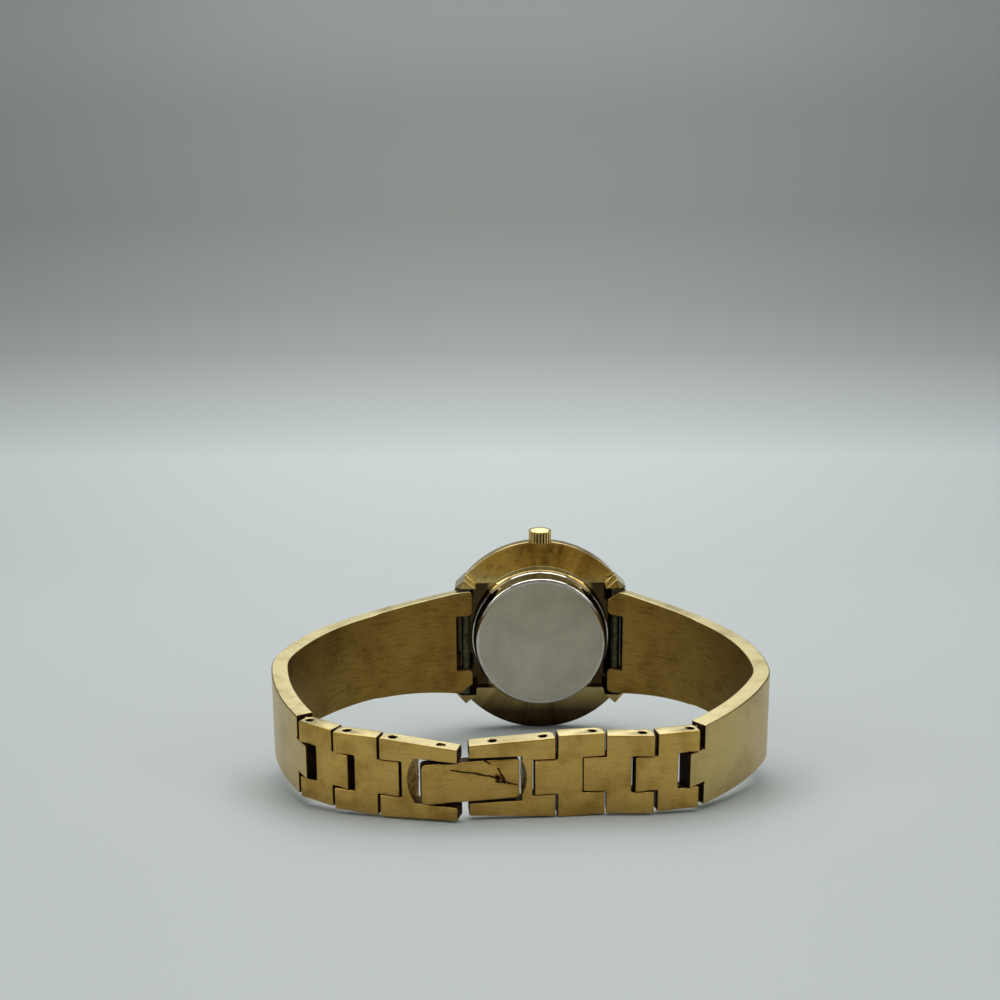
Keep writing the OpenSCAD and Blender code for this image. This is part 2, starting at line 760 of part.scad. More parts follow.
module circuit_block() {
    color([0.18, 0.35, 0.25]) {
        layer(plate_rear - circuit_t, circuit_t) intersection() {
            difference() {
                circle(plate_r - 0.5);
                circle(5.6);
            }
            polygon([[0, 0], polar(-115, far), polar(-70, far), polar(-28, far)]);
        }
        layer(plate_rear - circuit_t - 0.5, 0.55) translate(polar(-90, 6.9)) square(1.5, center = true);
        layer(plate_rear - circuit_t - 0.6, 0.65) translate(polar(-55, 6.9)) rotate(35) square([1.1, 2.6], center = true);
    }
}

stator_posts = [[coil_start - 0.7, coil_w], [coil_end + 1.3, coil_w]];

module stator() {
    color([0.55, 0.55, 0.56]) layer(stator_y, stator_t) difference() {
        union() {
            translate([coil_start - 1.1, coil_w - core_w / 2]) square([coil_end - coil_start + 2.8, core_w]);
            translate([coil_start - 1.1, 2.1]) square([0.8, coil_w - 2.1 + 0.45]);
            translate([coil_start - 1.1, 2.1]) square([rotor_pos[0] - coil_start + 1.1, 1.1]);
            translate([coil_end + 0.9, rotor_pos[1]]) square([0.8, coil_w - rotor_pos[1] + 0.45]);
            translate(rotor_pos) circle(1.3);
        }
        translate(rotor_pos) circle(0.75);
    }
}

module coil() {
    color([0.72, 0.38, 0.2]) translate([coil_start, stator_y + stator_t / 2, coil_w]) rotate([0, 90, 0]) difference() {
        cylinder(h = coil_end - coil_start, r = coil_d / 2);
        translate([0, 0, -1]) cylinder(h = far, r = core_w / 2 + 0.1);
    }
}

// Ring sector along an arc that starts at p with heading a and turns left
module bend_sector(p, a, r, sweep) {
    translate(p + r * [-sin(a), cos(a)]) intersection() {
        difference() {
            circle(r + arm_t / 2);
            circle(r - arm_t / 2);
        }
        polygon([
            [0, 0], polar(a - 90 - sector_lap, 2 * r), polar(a - 90 + sweep / 2, 2 * r),
            polar(a - 90 + sweep + sector_lap, 2 * r)
        ]);
    }
}

// Plan of an arm: spring bar at the origin, heading outwards, wrist side on the left of the path
module arm_outline() {
    h = arm_t / 2;
    rotate(arm_heading) polygon([
        [-root_reach, -h + 0.35], [-root_reach + 0.3, -h], [root_straight + 0.3, -h],
        [root_straight + 0.3, h], [-root_reach + 0.3, h], [-root_reach, h - 0.35]
    ]);
    bend_sector(arm_p0, arm_heading, arm_r1, arm_a1);
    bend_sector(arm_p1, arm_h1, arm_r2, arm_a2);
    bend_sector(arm_p2, arm_h2, arm_r3, arm_a3);
    translate(arm_pin) rotate(arm_h3) polygon([
        [-end_straight - 0.3, -h], [tongue_reach, -h], [tongue_reach, h - relief],
        [tongue_reach - relief, h], [-end_straight - 0.3, h]
    ]);
}

// Side view of an arm's root taper: straight far out, hollow near the case
module arm_hollow() {
    a = [0, arm_root_w / 2];
    b = [arm_mid_x, arm_mid_w / 2];
    half = norm(b - a) / 2;
    across = [a[1] - b[1], b[0] - a[0]] / (2 * half);
    centre = (a + b) / 2 + across * sqrt(arm_hollow_r * arm_hollow_r - half * half);
    translate(centre) circle(arm_hollow_r, $fn = 720);
}

module arm_shape() {
    end = arm_pin[1];
    mid = arm_mid_w / 2;
    tip = arm_end_w / 2;
    difference() {
        intersection() {
            plan(arm_root_w) arm_outline();
            side(3 * far) difference() {
                square(2 * far, center = true);
                arm_hollow();
                mirror([0, 1]) arm_hollow();
            }
            rotate([90, 0, 90]) linear_extrude(height = 2 * far, center = true) polygon([
                [3, mid + 2.4], [-arm_mid_y, mid], [-end, tip], [-end - 9, tip],
                [-end - 9, -tip], [-end, -tip], [-arm_mid_y, -mid], [3, -mid - 2.4]
            ]);
        }
        rotate([0, 0, -arm_heading]) {
            plan(root_notch_w) translate([root_notch - far, -5]) square([far, 10]);
            side(10) polygon([
                [-root_reach - 1, arm_root_w / 2 - root_corner], [-root_reach, arm_root_w / 2 - root_corner],
                [-root_reach + root_corner + 0.4, arm_root_w / 2 + 0.1], [-root_reach - 1, arm_root_w / 2 + 0.1]
            ]);
        }
        cylinder(h = far, r = bar_d / 2 + run_gap, center = true);
        translate([arm_pin[0], -arm_pin[1], 0]) rotate([0, 0, -arm_h3]) {
            for (s = [0, 1]) mirror([0, 0, s]) translate([-shoulder, -5, tongue_w / 2]) cube([far, 10, 10]);
            cylinder(h = far, r = pin_d / 2 + run_gap, center = true);
        }
    }
}

// Height at which the taper of the root passes into the long taper
arm_mid_y = arm_p0[1] + arm_r1 * (cos(arm_heading) - cos(asin(sin(arm_heading) + (arm_mid_x - arm_p0[0]) / arm_r1)));

module arm_right() {
    color(gold) translate([bar_x, bar_depth, 0]) rotate([0, 0, -arm_swing_right]) arm_shape();
}

module arm_left() {
    color(gold) rotate([0, 180, 0]) translate([bar_x, bar_depth, 0]) rotate([0, 0, -arm_swing_left]) arm_shape();
}

// A link: prongs at the origin, tongue one pitch further, wrist side below
module link_shape(width, tip, prong = prong_reach, notch = notch_reach) {
    h = link_t / 2;
    difference() {
        union() {
            plan(width) polygon([
                [-prong, h], [-prong, -h + relief], [-prong + relief, -h],
                [pitch - shoulder, -h], [pitch - shoulder, h]
            ]);
            plan(tongue_w) polygon([
                [pitch - shoulder - 0.5, -h], [pitch + tip - relief, -h], [pitch + tip, -h + relief],
                [pitch + tip, h], [pitch - shoulder - 0.5, h]
            ]);
        }
        tongue_room(notch);
        pin_holes(pin_d / 2 + run_gap);
    }
}

// Notch between the prongs
module tongue_room(notch) {
    plan(tongue_w + 2 * side_gap) translate([notch - far, -5]) square([far, 10]);
}

// Prong bore at the origin and a bore one pitch further
module pin_holes(second_r) {
    cylinder(h = far, r = pin_d / 2 + press_gap, center = true);
    translate([pitch, 0, 0]) cylinder(h = far, r = second_r, center = true);
}

// Half of the clasp: prongs at the origin, two rails beside the window of the lever
module clasp_shape(end, second_r, window_wall) {
    h = link_t / 2;
    difference() {
        intersection() {
            plan(link_w) polygon([
                [-prong_reach, h], [-prong_reach, -h + relief], [-prong_reach + relief, -h], [end, -h], [end, h]
            ]);
            side(10) polygon([
                [-prong_reach, link_w / 2], [end, clasp_end_w / 2],
                [end, -clasp_end_w / 2], [-prong_reach, -link_w / 2]
            ]);
        }
        tongue_room(notch_reach);
        clasp_window(window_wall);
        pin_holes(second_r);
    }
}

// Window of the lever: straight through from its wall on, with a round slope down to that wall
module clasp_window(wall) {
    slope = (wall - window_start) / link_t;
    over = 0.1;
    side(10) translate([wall, -window_w / 2]) square([far, window_w]);
    intersection() {
        side(10) translate([window_start - 1, -window_w / 2]) square([far, window_w]);
        translate([window_start + window_end_r, 0, 0]) rotate([90, 0, 0]) cylinder(
            h = link_t + 2 * over,
            r1 = window_start + window_end_r - wall - slope * over,
            r2 = window_end_r + slope * over,
            center = true
        );
    }
}

// Places on the band, counted from the left arm's pin
module on_left(n) {
    translate([hinge(n)[0], -hinge(n)[1], 0]) rotate([0, 0, -band_angle(n)]) children();
}

module on_right(n) {
    translate([hinge(n + 1)[0], -hinge(n + 1)[1], 0]) rotate([0, 0, -band_angle(n) - 180])
        rotate([180, 0, 0]) children();
}

module link_left_1() {
    color(gold) on_left(0) link_shape(link_w, short_tongue_reach, end_prong_reach, end_notch_reach);
}

module link_left_2() {
    color(gold) on_left(1) link_shape(link_w, tongue_reach);
}

module link_right_1() {
    color(gold) on_right(5) link_shape(wide_link_w, tongue_reach);
}

module link_right_2() {
    color(gold) on_right(6) link_shape(link_w, tongue_reach);
}

module link_right_3() {
    color(gold) on_right(7) link_shape(link_w, tongue_reach, end_prong_reach, end_notch_reach);
}

module clasp_left() {
    color(gold) on_left(2)
        clasp_shape(clasp_left_end, stud_d / 2 + press_gap, pitch - lever_tip - catch_gap);
}

module clasp_right() {
    color(gold) on_right(4)
        clasp_shape(clasp_right_end, pin_d / 2 + press_gap, pitch - lever_tail - tail_gap);
}

// Distance of a catch stud's ball centre from the middle plane
ball_r = stud_d / 2 + 0.18;
ball_w = lever_w / 2 - stud_bite + ball_r;
stud_out = clasp_end_w / 2 - 0.1;

module catch_studs() {
    color(gold_shade) on_left(2) translate([pitch, 0, 0]) for (s = [0, 1]) mirror([0, 0, s]) {
        translate([0, 0, ball_w]) cylinder(h = stud_out - ball_w, r = stud_d / 2);
        intersection() {
            translate([0, 0, ball_w]) sphere(r = ball_r);
            translate([0, 0, ball_w - 2]) cylinder(h = 2.1, r = stud_d / 2);
        }
    }
}

module lever() {
    h = link_t / 2;
    tip = -latch_length - lever_tip;
    c = lever_corner;
    color(gold) on_left_latch() difference() {
        union() {
            intersection() {
                plan(lever_w) translate([tip, h - lever_t]) square([lever_tail - tip, lever_t]);
                side(10) union() {
                    translate([tip, -lever_w / 2 + c]) square([lever_tail - tip, lever_w - 2 * c]);
                    translate([tip + c, -lever_w / 2]) square([lever_tail - tip - 2 * c, lever_w]);
                    for (x = [tip + c, lever_tail - c]) for (z = [-lever_w / 2 + c, lever_w / 2 - c])
                        translate([x, z]) circle(c);
                }
            }
            cylinder(h = lever_w, r = pin_d / 2 + 0.43, center = true);
        }
        cylinder(h = far, r = pin_d / 2 + run_gap, center = true);
        for (s = [-1, 1]) translate([-latch_length, 0, s * ball_w]) sphere(r = ball_r + seat_gap);
    }
}

// The lever's place: its pin at the origin, its tip towards the left half of the clasp
module on_left_latch() {
    translate([hinge(4)[0], -hinge(4)[1], 0]) rotate([0, 0, -band_angle(3)]) children();
}

module pin(width) {
    color(gold_shade) cylinder(h = width - 2 * pin_recess, r = pin_d / 2, center = true);
}

module lever_pin() {
    on_right(4) translate([pitch, 0, 0]) pin(clasp_end_w);
}

module pin_left_1() {
    on_left(0) pin(link_w);
}

module pin_left_2() {
    on_left(1) pin(link_w);
}

module pin_left_3() {
    on_left(2) pin(link_w);
}

module pin_right_1() {
    on_right(4) pin(link_w);
}

module pin_right_2() {
    on_right(5) pin(wide_link_w);
}

module pin_right_3() {
    on_right(6) pin(link_w);
}

module pin_right_4() {
    on_right(7) pin(link_w);
}

lay() mid_case();
lay() bezel();
lay() crystal();
lay() crystal_gasket();
lay() case_back();
lay() back_gasket();
lay() crown_tube();
lay() crown();
lay() stem();
lay() crown_gasket();
lay() dial();
lay() hour_markers();
lay() hour_hand();
lay() minute_hand();
lay() main_plate();
lay() train_bridge();
lay() bridge_screws();
lay() battery_cell();
lay() battery_strap();
lay() circuit_block();
lay() coil();
lay() stator();
lay() rotor();
lay() intermediate_wheel();
lay() third_wheel();
lay() centre_wheel();
lay() cannon_pinion();
lay() minute_wheel();
lay() hour_wheel();
lay() arm_left();
lay() arm_right();
lay() link_left_1();
lay() link_left_2();
lay() link_right_1();
lay() link_right_2();
lay() link_right_3();
lay() clasp_left();
lay() clasp_right();
lay() lever();
lay() lever_pin();
lay() catch_studs();
lay() pin_left_1();
lay() pin_left_2();
lay() pin_left_3();
lay() pin_right_1();
lay() pin_right_2();
lay() pin_right_3();
lay() pin_right_4();
lay() spring_bar(-1);  // spring_bar_left
lay() spring_bar(1);  // spring_bar_right
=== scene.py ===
"""Looks of a bangle wristwatch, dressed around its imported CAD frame.

Lengths are in millimetres until a mesh is finished, and in metres from there on.
"""

import json
import logging
import math
from dataclasses import dataclass
from enum import Enum
from typing import Callable

import bmesh
import bpy
from mathutils import Matrix, Vector


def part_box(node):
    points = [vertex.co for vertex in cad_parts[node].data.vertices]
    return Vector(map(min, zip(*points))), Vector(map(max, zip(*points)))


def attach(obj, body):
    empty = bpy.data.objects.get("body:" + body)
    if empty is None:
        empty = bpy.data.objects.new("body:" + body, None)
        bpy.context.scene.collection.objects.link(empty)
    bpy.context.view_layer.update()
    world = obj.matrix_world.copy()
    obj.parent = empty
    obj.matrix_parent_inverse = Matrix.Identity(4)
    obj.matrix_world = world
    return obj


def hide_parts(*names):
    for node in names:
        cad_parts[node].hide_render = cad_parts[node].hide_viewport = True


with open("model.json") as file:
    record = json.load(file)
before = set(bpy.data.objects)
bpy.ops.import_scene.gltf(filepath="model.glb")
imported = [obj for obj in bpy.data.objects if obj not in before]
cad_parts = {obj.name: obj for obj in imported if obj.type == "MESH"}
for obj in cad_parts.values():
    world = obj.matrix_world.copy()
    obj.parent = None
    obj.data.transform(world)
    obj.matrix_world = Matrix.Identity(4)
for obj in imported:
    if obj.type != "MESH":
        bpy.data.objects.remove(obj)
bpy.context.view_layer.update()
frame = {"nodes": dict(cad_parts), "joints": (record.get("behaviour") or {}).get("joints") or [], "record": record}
MM = 0.001
# Depth of the finest relief in a brushed or blasted surface, in metres.
RELIEF = 0.02 * MM
# Edges sharper than this many degrees are rounded.
SHARP = 38.0
# Unrounded edges sharper than this many degrees are shaded sharp.
CREASE = 32.0
# How strongly the larger faces beside a rounding keep their own normal, from 1 to 100.
FACE_HOLD = 80
# Points of a CAD mesh within this many millimetres are made one.
MERGE_GAP = 0.0015
# Faces of a CAD mesh that turn by less than this many degrees are made one.
FLAT_ANGLE = 0.4
# A profile point nearer the axis than this, in millimetres, lies on it.
ON_AXIS = 1e-6
# Length of a cutter that passes right through the band, in millimetres.
THROUGH = 20.0
log = logging.getLogger("wristwatch")


def linear(colour: str) -> tuple[float, float, float, float]:
    """Turn an sRGB hex colour into the linear colour that the shaders take.

    Args:
        colour: Six hex digits after a number sign.

    Returns:
        Linear red, green and blue, and an alpha of one.
    """
    parts = [int(colour[i : i + 2], 16) / 255 for i in (1, 3, 5)]
    return (*[p / 12.92 if p <= 0.04045 else ((p + 0.055) / 1.055) ** 2.4 for p in parts], 1.0)


def add_node(
    tree: bpy.types.NodeTree,
    kind: str,
    inputs: dict | None = None,
    stops: tuple[tuple[float, str], ...] = (),
    **settings,
) -> bpy.types.Node:
    """Add a node to a shader or geometry tree, with its settings and links.

    Args:
        tree: The tree that takes the node.
        kind: The node's type name.
        inputs: Values or output sockets for the node's inputs, by name or number.
        stops: For a colour ramp, its places from 0 to 1 with their hex colours.
        **settings: Properties of the node.

    Returns:
        The new node.
    """
    made = tree.nodes.new(kind)
    for name, value in settings.items():
        setattr(made, name, value)
    for number, (place, colour) in enumerate(stops):
        if number >= len(made.color_ramp.elements):
            made.color_ramp.elements.new(1.0)
        made.color_ramp.elements[number].position = place
        made.color_ramp.elements[number].color = linear(colour)
    for socket, value in (inputs or {}).items():
        if isinstance(value, bpy.types.NodeSocket):
            tree.links.new(value, made.inputs[socket])
        else:
            made.inputs[socket].default_value = value
    return made


@dataclass(frozen=True)
class Place:
    """An origin and three axes in the row frame, for pieces drawn in millimetres."""

    origin: Vector
    x: Vector
    y: Vector
    z: Vector

    def matrix(self) -> Matrix:
        """Return the transform from local millimetres to row metres."""
        turn = Matrix((self.x, self.y, self.z)).transposed().to_4x4()
        return Matrix.Translation(self.origin) @ turn @ Matrix.Scale(MM, 4)


def joint(name: str) -> dict:
    """Return one of the frame's joints by its name."""
    return next(j for j in frame["joints"] if j["name"] == name)


def hinge(name: str) -> Vector:
    """Return the point on a hinge's axis, in metres."""
    return Vector(joint(name)["pos_m"])


CROWN_WAY = Vector(joint("arm_left_swing")["axis"]).normalized()
FRONT_WAY = Vector(joint("minute_turn")["axis"]).normalized()
BACK_FACE = Vector(frame["record"]["mounts"][0]["pos_m"])
RIGHT_WAY = Vector((1, 0, 0))
LEAN = math.atan2(-CROWN_WAY.y, CROWN_WAY.z)
WATCH = Place(BACK_FACE, RIGHT_WAY, -FRONT_WAY, CROWN_WAY)


def band_place(start: Vector, end: Vector) -> Place:
    """Return the place of a band piece: x along it, y across the band and z away from the wrist.

    Args:
        start: The hinge between the piece's prongs, in metres.
        end: The hinge or catch that its tongue points to, in metres.

    Returns:
        The place, with its origin at start.
    """
    along = (end - start).normalized()
    outward = (FRONT_WAY - FRONT_WAY.dot(along) * along).normalized()
    return Place(start, along, outward.cross(along), outward)


def new_object(name: str, mesh: bpy.types.Mesh) -> bpy.types.Object:
    """Link a mesh to the scene.

    Args:
        name: The object's name.
        mesh: Its mesh.

    Returns:
        The object, at the origin.
    """
    made = bpy.data.objects.new(name, mesh)
    bpy.context.scene.collection.objects.link(made)
    return made


def settle(worked: bpy.types.Object, to_row: Matrix) -> bpy.types.Object:
    """Bake an object's modifiers into its mesh and put that mesh in its place.

    Args:
        worked: The object with live modifiers, in local millimetres.
        to_row: The transform from its coordinates to row metres.

    Returns:
        A plain object at the origin with the same name.
    """
    name = worked.name
    graph = bpy.context.evaluated_depsgraph_get()
    mesh = bpy.data.meshes.new_from_object(worked.evaluated_get(graph), depsgraph=graph)
    bpy.data.objects.remove(worked)
    mesh.transform(to_row)
    mesh.name = name
    return new_object(name, mesh)


def smooth(mesh: bpy.types.Mesh) -> None:
    """Shade a mesh smooth between its sharp edges."""
    mesh.shade_smooth()
    mesh.set_sharp_from_angle(angle=math.radians(CREASE))


def add_bevel(worked: bpy.types.Object, width: float, segments: int = 3) -> None:
    """Round an object's sharp edges, with normals that keep its flat faces flat.

    Args:
        worked: The object, whose modifiers stay live.
        width: Width of the rounding, in the object's own unit.
        segments: Faces across the rounding.
    """
    bevel = worked.modifiers.new("edges", "BEVEL")
    bevel.width, bevel.segments = width, segments
    bevel.limit_method, bevel.angle_limit = "ANGLE", math.radians(SHARP)
    bevel.use_clamp_overlap = False
    bevel.miter_outer = "MITER_ARC"
    weight = worked.modifiers.new("normals", "WEIGHTED_NORMAL")
    weight.keep_sharp, weight.weight = True, FACE_HOLD


def softened_copy(node: str, name: str, width: float, segments: int = 2) -> bpy.types.Object:
    """Copy a CAD node with rounded edges.

    Args:
        node: The CAD node that the piece stands for.
        name: The piece's name.
        width: Width of the rounding in millimetres.
        segments: Faces across the rounding.

    Returns:
        The piece, in row metres.
    """
    mesh = frame["nodes"][node].data.copy()
    mesh.materials.clear()
    mesh.transform(Matrix.Scale(1 / MM, 4))
    work = bmesh.new()
    work.from_mesh(mesh)
    bmesh.ops.remove_doubles(work, verts=work.verts, dist=MERGE_GAP)
    flat = math.radians(FLAT_ANGLE)
    bmesh.ops.dissolve_limit(work, angle_limit=flat, verts=work.verts, edges=work.edges)
    bmesh.ops.recalc_face_normals(work, faces=work.faces)
    work.to_mesh(mesh)
    work.free()
    for layer in list(mesh.uv_layers):
        mesh.uv_layers.remove(layer)
    smooth(mesh)
    worked = new_object(name, mesh)
    add_bevel(worked, width, segments)
    made = settle(worked, Matrix.Scale(MM, 4))
    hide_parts(node)
    return made


def lathe(name: str, profile: list[tuple[float, float]], place: Place, steps: int = 256) -> bpy.types.Object:
    """Turn a closed profile of (radius, depth) points about the place's y axis.

    Args:
        name: The piece's name.
        profile: Radius and depth of each point in millimetres, in order round the section.
        place: Where the axis stands.
        steps: Faces round the axis.

    Returns:
        The piece, in row metres.
    """
    work = bmesh.new()
    rings = []
    for radius, depth in profile:
        if radius < ON_AXIS:
            rings.append([work.verts.new((0, depth, 0))] * steps)
            continue
        rings.append([
            work.verts.new((radius * math.cos(a), depth, radius * math.sin(a)))
            for a in (2 * math.pi * i / steps for i in range(steps))
        ])
    for near, far in zip(rings, rings[1:] + rings[:1]):
        for i in range(steps):
            corners = [near[i], near[(i + 1) % steps], far[(i + 1) % steps], far[i]]
            corners = [c for n, c in enumerate(corners) if c not in corners[:n]]
            if len(corners) > 2:
                work.faces.new(corners)
    bmesh.ops.recalc_face_normals(work, faces=work.faces)
    mesh = bpy.data.meshes.new(name)
    work.to_mesh(mesh)
    work.free()
    mesh.transform(place.matrix())
    smooth(mesh)
    return new_object(name, mesh)


class Side(Enum):
    """The two sides of the watch, by the names that the CAD nodes carry."""

    LEFT = "left"
    RIGHT = "right"


class Zone(Enum):
    """The kinds of face on a piece of the band, in the order of its material slots."""

    OUTER = 0
    INNER = 1
    EDGE = 2
    WALL = 3
    SCOOP = 4


# The hinges of each chain of links, from the arm to the clasp.
HINGES = {
    Side.LEFT: ("left_flex_1", "left_flex_2", "left_flex_3"),
    Side.RIGHT: ("right_flex_4", "right_flex_3", "right_flex_2", "right_flex_1"),
}
# Least part of a face's normal that has to point outwards or to the wrist, and across the band.
FACING, ACROSS = 0.35, 0.7
# Where a link's outer face, wrist side and narrow edges begin, in millimetres from its middle.
OUTER_LEVEL, INNER_LEVEL, EDGE_REACH = 0.75, -0.4, 3.6


def repaint(piece: bpy.types.Object, place: Place, choose: Callable[[Vector, Vector], int]) -> None:
    """Choose each face's material slot from its normal and middle.

    Args:
        piece: The finished piece, with all its materials in its slots.
        place: The frame in which the rule is written.
        choose: The rule: normal and middle in local millimetres to a slot number.
    """
    back = place.matrix().inverted()
    turn = back.to_3x3().normalized()
    for face in piece.data.polygons:
        face.material_index = choose(turn @ face.normal, back @ face.center)


def band_zone(normal: Vector, middle: Vector) -> int:
    """Return the zone of a face on a link, a clasp half or the flap.

    Args:
        normal: The face's normal.
        middle: The face's middle, in millimetres.

    Returns:
        The number of its material slot.
    """
    if normal.z > FACING and middle.z > OUTER_LEVEL:
        return Zone.OUTER.value
    if abs(normal.y) > ACROSS and abs(middle.y) > EDGE_REACH:
        return Zone.EDGE.value
    if normal.z < -FACING and middle.z < INNER_LEVEL:
        return Zone.INNER.value
    return Zone.WALL.value


@dataclass(frozen=True)
class Finish:
    """A surface finish that builds one material."""

    name: str

    def build(self) -> bpy.types.Material:
        """Make the finish's material, or find it where it was made before.

        Returns:
            The material.
        """
        made = bpy.data.materials.get(self.name)
        if made is None:
            made = bpy.data.materials.new(self.name)
            made.use_nodes = True
            made.node_tree.nodes.clear()
            shader = self.shade(made.node_tree)
            add_node(made.node_tree, "ShaderNodeOutputMaterial", {"Surface": shader})
        return made

    def shade(self, tree: bpy.types.NodeTree) -> bpy.types.NodeSocket:
        """Build the shader.

        Args:
            tree: The material's tree.

        Returns:
            The shader's output socket.
        """
        raise NotImplementedError

    def local(self, tree: bpy.types.NodeTree) -> bpy.types.NodeSocket:
        """Return the place in the watch that the material is read at.

        Args:
            tree: The material's tree.

        Returns:
            Millimetres to the right, behind the back face and towards the crown.
        """
        return add_node(
            tree,
            "ShaderNodeMapping",
            {
                "Vector": add_node(tree, "ShaderNodeTexCoord").outputs["Object"],
                "Location": BACK_FACE,
                "Rotation": (LEAN, 0, 0),
                "Scale": (MM, MM, MM),
            },
            vector_type="TEXTURE",
        ).outputs[0]

    def pattern(
        self, tree: bpy.types.NodeTree, stretch: tuple[float, float, float], detail: float, rough: float
    ) -> bpy.types.NodeSocket:
        """Return an uneven factor round one half, which stays the same at each place on the watch.

        Args:
            tree: The material's tree.
            stretch: Its periods per millimetre to the right, in depth and towards the crown.
            detail: Octaves of the pattern.
            rough: Share that each octave keeps.

        Returns:
            The factor.
        """
        spot = add_node(tree, "ShaderNodeMapping", {"Vector": self.local(tree), "Scale": stretch}).outputs[0]
        return add_node(
            tree, "ShaderNodeTexNoise", {"Vector": spot, "Scale": 1.0, "Detail": detail, "Roughness": rough}
        ).outputs["Fac"]


@dataclass(frozen=True)
class GoldPlate(Finish):
    """Gold plating on brass, with brushing, cloudy wear, dark specks and grime.

    The plating gives a warm metal colour, the brushing a soft long gleam across the grain, and the
    worn patches a browner and duller tone. Brushing lines of about 0.05 mm are drawn at 0.15 mm,
    because finer ones don't show.
    """

    bright: str = "#CBA65A"
    dull: str = "#AC8842"
    stain: str = "#4E3718"
    rough: tuple[float, float] = (0.27, 0.40)
    grain: tuple[float, float, float] = (0.4, 0.4, 6.5)
    grain_depth: float = 0.22
    streak: float = 0.25
    patch: float = 0.3
    speck_share: float = 0.35

    def shade(self, tree: bpy.types.NodeTree) -> bpy.types.NodeSocket:
        """Build the plating's colour, gloss and relief.

        Args:
            tree: The material's tree.

        Returns:
            The shader's output socket.
        """
        grain = self.pattern(tree, self.grain, 4.0, 0.6)
        cloud = add_node(tree, "ShaderNodeMapRange", {0: self.clouds(tree), 1: 0.34, 2: 0.66})
        stops = ((0.0, self.dull), (0.6, self.bright))
        colour = add_node(tree, "ShaderNodeValToRGB", {"Fac": cloud.outputs[0]}, stops).outputs["Color"]
        streaks = add_node(tree, "ShaderNodeMapRange", {0: grain, 1: 0.5, 2: 0.28, 3: 0.0, 4: self.streak})
        dark = self.darkening(tree, streaks.outputs[0])
        mixed = add_node(
            tree, "ShaderNodeMix", {"Factor": dark, "A": colour, "B": linear(self.stain)}, data_type="RGBA"
        ).outputs["Result"]
        gloss = add_node(
            tree, "ShaderNodeMapRange", {0: grain, 1: 0.3, 2: 0.7, 3: self.rough[0], 4: self.rough[1]}
        ).outputs[0]
        relief = add_node(
            tree,
            "ShaderNodeBump",
            {"Height": self.height(tree, grain), "Strength": self.grain_depth, "Distance": RELIEF},
        ).outputs["Normal"]
        return add_node(
            tree,
            "ShaderNodeBsdfPrincipled",
            {"Base Color": mixed, "Metallic": 1.0, "Roughness": gloss, "Normal": relief},
        ).outputs["BSDF"]

    def clouds(self, tree: bpy.types.NodeTree) -> bpy.types.NodeSocket:
        """Return the factor between worn and fresh plating."""
        return self.pattern(tree, (self.patch,) * 3, 5.0, 0.62)

    def darkening(self, tree: bpy.types.NodeTree, start: bpy.types.NodeSocket) -> bpy.types.NodeSocket:
        """Return how dark the plating is stained: by the given marks, and by specks where it is pitted.

        Args:
            tree: The material's tree.
            start: The marks that are there already, from 0 to 1.

        Returns:
            The stain, from 0 to 1.
        """
        specks = self.pattern(tree, (2.4,) * 3, 2.0, 0.5)
        pits = add_node(
            tree, "ShaderNodeMapRange", {0: specks, 1: 0.64, 2: 0.76, 3: 0.0, 4: self.speck_share}
        ).outputs[0]
        return add_node(tree, "ShaderNodeMath", {0: start, 1: pits}, operation="MAXIMUM").outputs[0]

    def height(self, tree: bpy.types.NodeTree, grain: bpy.types.NodeSocket) -> bpy.types.NodeSocket:
        """Return the relief's height, which is the grain alone on plain plating."""
        return grain


